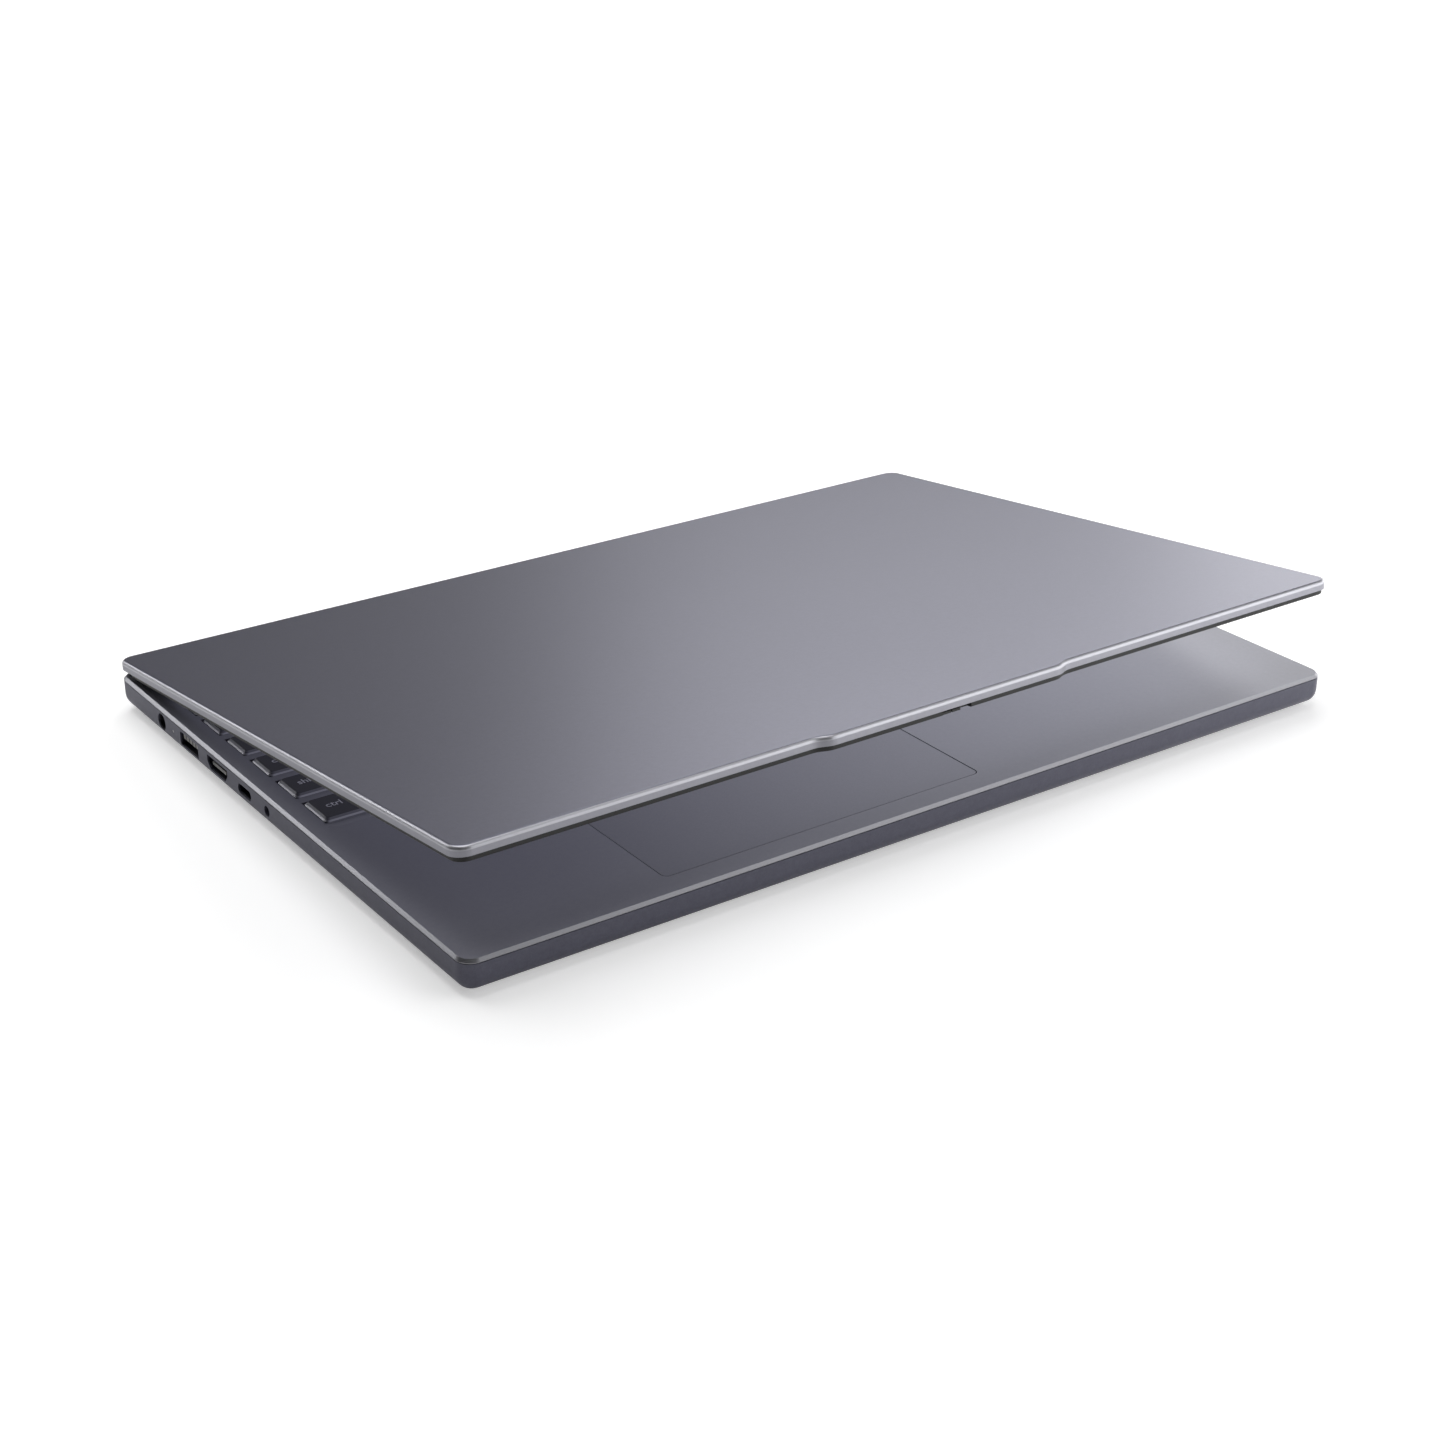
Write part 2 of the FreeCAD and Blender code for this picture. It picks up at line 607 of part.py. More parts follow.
def exhaust_count():
    """How many slots of the rear vent fit behind the fins."""
    return int((2 * FAN_R - 4.0) // 4.8) + 1


def grille_plans():
    """The vent openings in the floor: under the fan and under each speaker."""
    fan = (grow((FAN_X, FAN_X), FAN_R - 1.0), grow((FAN_Y, FAN_Y), FAN_R - 2.0))
    plans = [fan]
    for side in (-1, 1):
        middle = side * SPEAKER_X
        y = HALF_D - 24.0
        plans.append((grow((middle, middle), 12.0), (-y, 9.0 - y)))
    return plans


def vent_grilles():
    """Slotted inserts that close the floor vents, each with a flange on the inside."""
    grilles = []
    for x, y in grille_plans():
        x = grow(x, -FIT)
        y = grow(y, -FIT)
        panel = slab(x, y, (FLOOR - GRILLE_T, FLOOR), 2.5)
        ring = slab(grow(x, GRILLE_FLANGE), grow(y, GRILLE_FLANGE), (FLOOR, FLOOR + 0.3), 3.0)
        panel = panel.fuse(ring.cut(slab(grow(x, -1.0), grow(y, -1.0), (FLOOR - 1, FLOOR + 1), 2.0)))
        count = int((x[1] - x[0] - 4.0) // GRILLE_PITCH)
        start = (x[0] + x[1] - (count - 1) * GRILLE_PITCH) / 2
        slots = []
        for index in range(count):
            middle = start + index * GRILLE_PITCH
            slot_x = grow((middle, middle), GRILLE_SLOT / 2)
            slots.append(block(slot_x, grow(y, -2.0), (FOOT_H - 1, FLOOR + 1)))
        grilles.append(panel.cut(slots).removeSplitter())
    save("vent_grilles", *grilles)


def mouth(kind, y, grown, depth):
    """The outline of one socket's opening, drawn as (y, z), as a prism of some depth."""
    def rectangle(width, height, radius):
        return slab(
            grow((y - width / 2, y + width / 2), grown),
            grow((PORT_Z - height / 2, PORT_Z + height / 2), grown),
            depth,
            radius + grown,
        )

    if kind == "usb_a":
        return rectangle(USB_A_W, USB_A_H, 0.3)
    if kind == "usb_c":
        return rectangle(USB_C_W, USB_C_H, USB_C_H / 2 - 0.01)
    if kind == "card":
        return rectangle(CARD_W, CARD_H, 0.2)
    if kind == "hdmi":
        half = HDMI_W / 2 + grown
        top = PORT_Z + HDMI_H / 2 + grown
        low = PORT_Z - HDMI_H / 2 - grown
        taper = 2.0
        points = [
            V(y - half, top, depth[0]),
            V(y + half, top, depth[0]),
            V(y + half, top - HDMI_H * 0.55, depth[0]),
            V(y + half - taper, low, depth[0]),
            V(y - half + taper, low, depth[0]),
            V(y - half, top - HDMI_H * 0.55, depth[0]),
        ]
        face = Part.Face(Part.makePolygon(points + points[:1]))
        return face.extrude(V(0, 0, depth[1] - depth[0]))
    radius = {"jack": JACK_R, "inlet": INLET_R, "light": LIGHT_R}[kind]
    return Part.makeCylinder(radius + grown, depth[1] - depth[0], V(y, PORT_Z, depth[0]), V(0, 0, 1))


def left_mouths(grown):
    """The windows that the left wall needs for its sockets."""
    through = (-1.0, WALL + 1.2)
    windows = [
        mouth("inlet", HALF_D - INLET_FROM_REAR, grown, through),
        mouth("light", HALF_D - LIGHT_FROM_REAR, 0.05, through),
        mouth("usb_a", HALF_D - USB_A_FROM_REAR, grown, through),
        mouth("hdmi", HALF_D - HDMI_FROM_REAR, grown, through),
        mouth("usb_c", HALF_D - USB_C_FROM_REAR, grown, through),
        mouth("jack", HALF_D - JACK_FROM_REAR, 0.0, (-1.0, JACK_NOSE + 0.1)),
    ]
    return windows


def right_mouths(grown):
    """The windows that the right wall needs for its sockets."""
    through = (-1.0, WALL + 1.2)
    windows = [
        mouth("usb_a", HALF_D - RIGHT_USB_FROM_REAR, grown, through),
        mouth("card", HALF_D - CARD_FROM_REAR, grown, through),
    ]
    return windows


def socket(kind, y, tongue_y, tongue_z):
    """A metal-shelled socket with its contact tongue, standing on the board."""
    reach = (PORT_RECESS, PORT_RECESS + PORT_DEPTH)
    shell = mouth(kind, y, PORT_SHELL, reach)
    hollow = mouth(kind, y, 0.0, (reach[0] - 1.0, reach[1] - 1.5))
    tongue = block(tongue_y, tongue_z, (reach[0] + 2.0, reach[1] - 1.0))
    low = shell.BoundBox.YMin
    body = shell.cut(hollow).fuse(tongue)
    if low > BOARD_TOP + 0.01:
        width = grow((shell.BoundBox.XMin, shell.BoundBox.XMax), -2.2)
        seat = block(width, (BOARD_TOP, low + PORT_SHELL), (BOARD_SIDE + 1.0, reach[1]))
        body = body.fuse(seat)
    return on_side(body.removeSplitter())


def side_sockets():
    """Every socket in the two side walls, and the light beside the power inlet."""
    y = HALF_D - USB_A_FROM_REAR
    tongue = (PORT_Z + 0.2, PORT_Z + USB_A_H / 2 - 0.4)
    save("usb_a_port_left", socket("usb_a", y, grow((y, y), USB_A_W / 2 - 1.0), tongue))
    y = HALF_D - RIGHT_USB_FROM_REAR
    right = socket("usb_a", y, grow((y, y), USB_A_W / 2 - 1.0), tongue)
    save("usb_a_port_right", mirrored(right))
    y = HALF_D - HDMI_FROM_REAR
    tongue = (PORT_Z - 0.4, PORT_Z + 0.8)
    save("hdmi_port", socket("hdmi", y, grow((y, y), HDMI_W / 2 - 2.2), tongue))
    y = HALF_D - USB_C_FROM_REAR
    tongue = grow((PORT_Z, PORT_Z), 0.35)
    save("usb_c_port", socket("usb_c", y, grow((y, y), USB_C_W / 2 - 1.4), tongue))

    y = HALF_D - JACK_FROM_REAR
    depth = (JACK_NOSE + 0.2, JACK_NOSE + 0.2 + JACK_DEPTH)
    half = PORT_Z - BOARD_TOP
    housing = slab(grow((y, y), JACK_R + 1.2), (BOARD_TOP, PORT_Z + half), depth, 0.6)
    chamber = JACK_R + JACK_EASE
    hollow = block(grow((y, y), chamber), grow((PORT_Z, PORT_Z), chamber), (depth[0] - 1.0, depth[1] - 1.0))
    save("audio_jack", on_side(housing.cut(hollow)))

    y = HALF_D - INLET_FROM_REAR
    nose = mouth("inlet", y, PORT_SHELL, (PORT_RECESS, WALL + 1.5))
    block_depth = (WALL + 1.0, PORT_RECESS + PORT_DEPTH)
    housing = slab(grow((y, y), INLET_R + 1.6), (BOARD_TOP, PORT_Z + half), block_depth, 0.6)
    bore = mouth("inlet", y, 0.0, (PORT_RECESS - 1.0, block_depth[1] - 1.5))
    pin = Part.makeCylinder(INLET_PIN_R, block_depth[1] - 3.5, V(y, PORT_Z, 2.5), V(0, 0, 1))
    save("power_jack", on_side(housing.fuse(nose).cut(bore).fuse(pin).removeSplitter()))

    y = HALF_D - LIGHT_FROM_REAR
    pipe = mouth("light", y, 0.0, (0.1, WALL + 1.5))
    lamp = block(grow((y, y), 1.3), (BOARD_TOP, PORT_Z + 0.8), (WALL + 1.4, BOARD_SIDE + 2.5))
    save("status_light", on_side(pipe.fuse(lamp).removeSplitter()))

    y = HALF_D - CARD_FROM_REAR
    reach = (PORT_RECESS, IO_BOARD_W)
    shell = mouth("card", y, PORT_SHELL, reach)
    hollow = mouth("card", y, 0.0, (reach[0] - 1.0, reach[1] - 1.0))
    leg_y = grow((y, y), CARD_W / 2 - 1.0)
    leg_z = (BOARD_TOP, shell.BoundBox.YMin + PORT_SHELL / 2)
    legs = []
    for start, end in ((0.23, 0.35), (0.77, 0.885)):
        legs.append(block(leg_y, leg_z, (start * IO_BOARD_W, end * IO_BOARD_W)))
    save("card_reader", mirrored(on_side(shell.cut(hollow).fuse(legs).removeSplitter())))


def touchpad():
    """Glass pad with its switch board, and the tray that holds both under the deck."""
    pad = slab(TOUCH_X, TOUCH_Y, (TOUCH_Z, TOUCH_TOP), TOUCH_R)
    save("touchpad", pad)
    board_x = grow(TOUCH_X, -TOUCH_BOARD_INSET)
    board_y = grow(TOUCH_Y, -TOUCH_BOARD_INSET)
    board = slab(board_x, board_y, (TOUCH_BOARD_Z, TOUCH_Z), TOUCH_R)
    middle = (TOUCH_X[0] + TOUCH_X[1]) / 2
    deep = TOUCH_Y[1] - TOUCH_Y[0]
    under_z = (TOUCH_SWITCH_Z, TOUCH_BOARD_Z)
    switch = rod_z(middle, TOUCH_Y[0] + 0.13 * deep, 3.0, under_z)
    chip_y = (TOUCH_Y[0] + 0.51 * deep, TOUCH_Y[0] + 0.77 * deep)
    chip = block(grow((middle, middle), 0.065 * TOUCH_W), chip_y, under_z)
    save("touchpad_board", board.fuse([switch, chip]).removeSplitter())

    inner_x = grow(TOUCH_X, BRACKET_ROOM)
    inner_y = (TOUCH_Y[0] - 1.5, TOUCH_Y[1] + 1.5)
    outer_x = grow(inner_x, BRACKET_WALL)
    outer_y = grow(inner_y, 1.2)
    tray = slab(outer_x, outer_y, (BRACKET_Z, DECK_Z), 2.0)
    tray = tray.cut(slab(inner_x, inner_y, (BRACKET_TOP, DECK_Z + 1), 1.0))
    ledge = block(inner_x, (board_y[1] - 0.8, inner_y[1] + 0.5), (BRACKET_TOP - 0.1, TOUCH_BOARD_Z - 0.05))
    lightening = []
    for share in (-0.3, 0.3):
        x = middle + share * TOUCH_W
        y = TOUCH_Y[0] + 0.69 * deep
        hole = slab(grow((x, x), 0.13 * TOUCH_W), grow((y, y), 0.28 * deep), (0, DECK_Z), 4.0)
        lightening.append(hole)
    save("touchpad_bracket", tray.cut(lightening).fuse(ledge).removeSplitter())


def power_button():
    """Oval push button, held under the deck by its flange."""
    x = (BUTTON_X - BUTTON_W / 2, BUTTON_X + BUTTON_W / 2)
    y = (BUTTON_Y - BUTTON_D / 2, BUTTON_Y + BUTTON_D / 2)
    flange_top = DECK_Z - 0.2
    round_end = BUTTON_D / 2 - 0.01
    cap = slab(x, y, (flange_top, KEY_TOP), round_end)
    cap = cap.makeFillet(0.3, level_edges(cap, KEY_TOP))
    wide_x = grow(x, BUTTON_FLANGE)
    wide_y = grow(y, BUTTON_FLANGE)
    flange = slab(wide_x, wide_y, (flange_top - BUTTON_FLANGE_T, flange_top), round_end)
    save("power_button", cap.fuse(flange).removeSplitter())


def lid_outline(z):
    """The lid seen from above: a round-cornered rectangle whose front edge carries the tab."""
    front = -HALF_D
    tip = front - TAB_OUT
    run = TAB_RUN / 2
    drop = TAB_OUT / 2
    bend = (run * run + drop * drop) / (2 * drop)
    turn = math.asin(run / bend)

    def shoulder(side):
        foot = side * (TAB_HALF + run)
        crest = side * (TAB_HALF - run)
        outer = []
        inner = []
        for share in (0.0, 0.5, 1.0):
            across = bend * math.sin(share * turn)
            fall = bend - bend * math.cos(share * turn)
            outer.append(V(foot - side * across, front - fall, z))
            inner.append(V(crest + side * across, tip + fall, z))
        return outer, inner

    left_outer, left_inner = shoulder(-1)
    right_outer, right_inner = shoulder(1)
    slant = CORNER_R * (1 - math.sqrt(0.5))

    def corner(sx, sy):
        x = sx * HALF_W
        y = sy * HALF_D
        on_x = V(x - sx * CORNER_R, y, z)
        middle = V(x - sx * slant, y - sy * slant, z)
        on_y = V(x, y - sy * CORNER_R, z)
        return on_x, middle, on_y

    front_left = corner(-1, -1)
    front_right = corner(1, -1)
    back_right = corner(1, 1)
    back_left = corner(-1, 1)
    edges = [
        arc_edge(front_left[2], front_left[1], front_left[0]),
        Part.makeLine(front_left[0], left_outer[0]),
        arc_edge(*left_outer),
        arc_edge(*left_inner[::-1]),
        Part.makeLine(left_inner[0], right_inner[0]),
        arc_edge(*right_inner),
        arc_edge(*right_outer[::-1]),
        Part.makeLine(right_outer[0], front_right[0]),
        arc_edge(*front_right),
        Part.makeLine(front_right[2], back_right[2]),
        arc_edge(back_right[2], back_right[1], back_right[0]),
        Part.makeLine(back_right[0], back_left[0]),
        arc_edge(*back_left),
        Part.makeLine(back_left[2], front_left[2]),
    ]
    return Part.Wire(edges)


def lid_prism(inset, z):
    """An upright prism on the lid's outline, drawn in by some amount."""
    wire = lid_outline(z[0])
    if inset:
        wire = wire.makeOffset2D(-inset)
    return Part.Face(wire).extrude(V(0, 0, z[1] - z[0]))


def knuckle_room():
    """What each base knuckle and its neck sweep through as the lid turns over them."""
    reach = NECK_T / 2 * math.sqrt(2) + HINGE_ROOM / 2
    far = 14.0
    points = [
        (HINGE_Y - far, HINGE_Z - far + reach),
        (HINGE_Y + far, HINGE_Z + far + reach),
        (HINGE_Y + far, HINGE_Z - far),
        (HINGE_Y - far, HINGE_Z - far),
    ]
    wedge = section(points, grow(KNUCKLE_X, HINGE_ROOM))
    barrel = rod_x(HINGE_Y, HINGE_Z, KNUCKLE_R + 0.2, (ARM_X[0] - 0.3, KNUCKLE_X[1] + HINGE_ROOM))
    return [wedge, barrel, mirrored(wedge), mirrored(barrel)]


def lid_cover():
    """Metal lid: a shallow tray with a round top edge, screw bosses and room for the knuckles."""
    shell = lid_prism(0.0, (METAL_Z, LID_TOP))
    shell = shell.makeFillet(LID_ROUND, level_edges(shell, LID_TOP))
    tray = shell.cut(lid_prism(LID_WALL, (METAL_Z - 1.0, SKIN_Z)))
    bosses = []
    holes = []
    arm_top = HINGE_Z + ARM_T / 2
    for x, y in arm_screw_places():
        bosses.append(rod_z(x, y, POST_R, (arm_top, SKIN_Z + 0.2)))
        holes.append(rod_z(x, y, SCREW_R + SCREW_FIT, (arm_top - 1.0, SKIN_Z + 0.3)))
    tray = tray.fuse(bosses).cut(holes + knuckle_room())
    save("lid_cover", opened(tray.removeSplitter()))


def shutter_slot():
    """The notch in the bezel's front edge in which the camera shutter's tab slides."""
    return (SHUTTER_X - 0.1, SHUTTER_X + SHUTTER_TAB + SHUTTER_TRAVEL + 0.5)


def camera_line():
    """How far forward the camera's lens stands."""
    return -HALF_D - TAB_OUT + 5.0


def screen_bezel():
    """Black frame round the screen, with the lens hole and the camera shutter's slide."""
    frame = lid_prism(BEZEL_INSET, (LID_Z, METAL_Z))
    frame = frame.makeFillet(0.4, level_edges(frame, LID_Z))
    behind = block((-HALF_W, HALF_W), (CAP_Y[0] - FIT, HALF_D + 1), (LID_Z - 1, METAL_Z + 1))
    window = block(SCREEN_X, SCREEN_Y, (LID_Z - 1, METAL_Z + 1))
    pocket = block(grow(PANEL_X, FIT), grow(PANEL_Y, FIT), (LID_Z + BEZEL_LIP, METAL_Z + 1))
    y = camera_line()
    lens = rod_z(0, y, LENS_R, (LID_Z - 1, METAL_Z))
    blade_x = (-8.3, 8.3 + SHUTTER_TRAVEL)
    slide = block(blade_x, (y - 2.2, y + 1.9), (LID_Z + 0.5, METAL_Z + 1))
    front = -HALF_D - TAB_OUT
    notch = block(shutter_slot(), (front, y - 2.1), (LID_Z - 1, METAL_Z - 0.3))
    bezel = frame.cut([behind, window, pocket, lens, slide, notch])
    save("screen_bezel", opened(bezel.removeSplitter()))

    blade_z = (LID_Z + 0.6, LID_Z + 0.6 + SHUTTER_T)
    blade = block((-8.0, 8.0), (y - 1.9, y + 1.6), blade_z)
    neck = block((SHUTTER_X + 0.5, SHUTTER_X + SHUTTER_TAB - 0.5), (y - 2.6, y - 1.8), blade_z)
    tab_y = (front + BEZEL_INSET + 0.15, y - 2.4)
    tab = block((SHUTTER_X, SHUTTER_X + SHUTTER_TAB), tab_y, (LID_Z + 0.2, blade_z[1]))
    groove = block((SHUTTER_X + 3.2, SHUTTER_X + 3.7), (front, tab_y[0] + 0.4), (LID_Z, METAL_Z))
    hole = rod_z(0, y, LENS_R - 0.1, (LID_Z, METAL_Z))
    shutter = blade.fuse([neck, tab]).cut([groove, hole])
    save("camera_shutter", opened(shutter.removeSplitter()))

    card = block((-30.0, 30.0), (y - 1.8, y + 1.6), (METAL_Z + 0.2, METAL_Z + 1.0))
    feet = [block((x, x + 4.0), (y - 1.8, y + 1.6), (METAL_Z, METAL_Z + 0.4)) for x in (-26.0, 22.0)]
    barrel = rod_z(0, y, LENS_R - 0.2, (blade_z[1] + 0.15, METAL_Z + 0.4))
    sensor = block((-3.2, 3.2), (y - 1.8, y + 1.6), (METAL_Z + 0.8, METAL_Z + 1.9))
    save("camera_module", opened(card.fuse(feet + [barrel, sensor]).removeSplitter()))


def hinge_cap():
    """Dark strip that closes the lid behind the bezel, cut away round the knuckles."""
    x = (CAP_INSET - HALF_W, HALF_W - CAP_INSET)
    strip = slab(x, CAP_Y, (LID_Z + 0.1, METAL_Z), 3.0)
    head = HINGE_Z - ARM_T / 2 - SCREW_HEAD_H - SCREW_FIT
    pockets = []
    for x, y in arm_screw_places():
        pockets.append(rod_z(x, y, SCREW_HEAD_R + 2 * SCREW_FIT, (head, METAL_Z + 1)))
    save("hinge_cap", opened(strip.cut(knuckle_room() + pockets).removeSplitter()))


def display_panel():
    """Screen panel: its glass behind the bezel, and a thinner driver strip at its foot."""
    glass = block(PANEL_X, (PANEL_Y[0], SCREEN_Y[1] + PANEL_EDGE), (PANEL_Z, PANEL_Z + PANEL_T))
    strip = block(grow(PANEL_X, -6.0), (SCREEN_Y[1], PANEL_Y[1]), (PANEL_Z, PANEL_Z + 1.4))
    save("display_panel", opened(glass.fuse(strip).removeSplitter()))

    aerials = []
    for side in (-1, 1):
        x = sorted((side * (TAB_HALF + 16.0), side * (TAB_HALF + 58.0)))
        y = (-HALF_D + LID_WALL + 0.4, PANEL_Y[0] - 0.4)
        foil = block(x, y, (METAL_Z, METAL_Z + 0.8))
        feed = block((sum(x) / 2 - 2.0, sum(x) / 2 + 2.0), y, (METAL_Z + 0.8, METAL_Z + 1.6))
        aerials.append(opened(foil.fuse(feed).removeSplitter()))
    save("wifi_antennas", *aerials)

    bumpers = []
    for side in (-1, 1):
        for y in (SCREEN_Y[0] - 4.0, SCREEN_Y[1] + 6.0):
            pad = rod_z(side * (HALF_W - 22.0), y, BUMPER_R, (LID_Z - LID_GAP + 0.1, LID_Z))
            bumpers.append(opened(pad.makeFillet(0.15, level_edges(pad, LID_Z - LID_GAP + 0.1))))
    save("screen_bumpers", *bumpers)


def screw(x, y, head, tip):
    """A pan-head screw from its head's face to its tip, along Z."""
    up = 1 if tip > head else -1
    under = head + up * SCREW_HEAD_H
    profile = [
        V(0, 0, head),
        V(SCREW_HEAD_R - 0.3, 0, head),
        V(SCREW_HEAD_R, 0, head + up * 0.3),
        V(SCREW_HEAD_R, 0, under),
        V(SCREW_R, 0, under),
        V(SCREW_R, 0, tip - up * 0.4),
        V(SCREW_R - 0.4, 0, tip),
        V(0, 0, tip),
    ]
    face = Part.Face(Part.makePolygon(profile + profile[:1]))
    solid = face.revolve(V(0, 0, 0), V(0, 0, 1), 360)
    solid.translate(V(x, y, 0))
    return solid


def hinges():
    """Base brackets with their knuckles, lid arms, and the pins that join them."""
    down = math.sqrt(0.5)
    half = NECK_T / 2
    plate_z = (BRACKET_PLATE_TOP - BRACKET_PLATE_T, BRACKET_PLATE_TOP)
    length = (HINGE_Z - plate_z[0]) / down - half
    root = (HINGE_Y - length * down, HINGE_Z - length * down)
    neck = section(
        [
            (HINGE_Y - half * down, HINGE_Z + half * down),
            (root[0] - half * down, root[1] + half * down),
            (root[0] + half * down, root[1] - half * down),
            (HINGE_Y + half * down, HINGE_Z - half * down),
        ],
        KNUCKLE_X,
    )
    plate = block(KNUCKLE_X, (HINGE_Y - BRACKET_PLATE_D - 3.0, root[0] + half), plate_z)
    knuckle = rod_x(HINGE_Y, HINGE_Z, KNUCKLE_R, KNUCKLE_X)
    bore = rod_x(HINGE_Y, HINGE_Z, PIN_R + PIN_FIT, grow(KNUCKLE_X, 1.0))
    bracket = plate.fuse([neck, knuckle]).cut(bore)
    for x, y in hinge_screw_places():
        if x > 0:
            bracket = bracket.cut(rod_z(x, y, SCREW_R + SCREW_FIT, grow(plate_z, 1.0)))
    bracket = bracket.removeSplitter()
    save("hinge_bracket_right", bracket)
    save("hinge_bracket_left", mirrored(bracket))

    arm_z = (HINGE_Z - ARM_T / 2, HINGE_Z + ARM_T / 2)
    arm_y = (CAP_Y[0] - 1.5, HALF_D - LID_WALL - 0.3)
    leaf = block((ARM_X[1] - ARM_W, ARM_X[1]), arm_y, arm_z)
    stem = block(ARM_X, (arm_y[0], HINGE_Y), arm_z)
    ring = rod_x(HINGE_Y, HINGE_Z, KNUCKLE_R, ARM_X)
    arm = leaf.fuse([stem, ring]).cut(rod_x(HINGE_Y, HINGE_Z, PIN_R + 0.02, grow(ARM_X, 1.0)))
    for x, y in arm_screw_places():
        if x > 0:
            arm = arm.cut(rod_z(x, y, SCREW_R + SCREW_FIT, grow(arm_z, 1.0)))
    arm = arm.removeSplitter()
    save("hinge_arm_right", opened(arm))
    save("hinge_arm_left", opened(mirrored(arm)))

    pin = rod_x(HINGE_Y, HINGE_Z, PIN_R, (ARM_X[0], KNUCKLE_X[1]))
    pin = pin.makeChamfer(0.2, [pin.Edges[0], pin.Edges[2]])
    save("hinge_pins", opened(pin), opened(mirrored(pin)))

    under = arm_z[0] - SCREW_HEAD_H
    lid_screws = [opened(screw(x, y, under, SKIN_Z + 0.1)) for x, y in arm_screw_places()]
    save("hinge_lid_screws", *lid_screws)
    head = plate_z[0] - SCREW_HEAD_H
    inner = [screw(x, y, head, DECK_Z + 0.2) for x, y in hinge_screw_places()]
    for x, y in board_screw_places():
        inner.append(screw(x, y, BOARD_TOP + SCREW_HEAD_H, FLOOR + 0.1))
    save("inner_screws", *inner)
    outside = FOOT_H + SCREW_FIT
    save("case_screws", *[screw(x, y, outside, COVER_BOSS_TOP + 4.5) for x, y in POSTS])


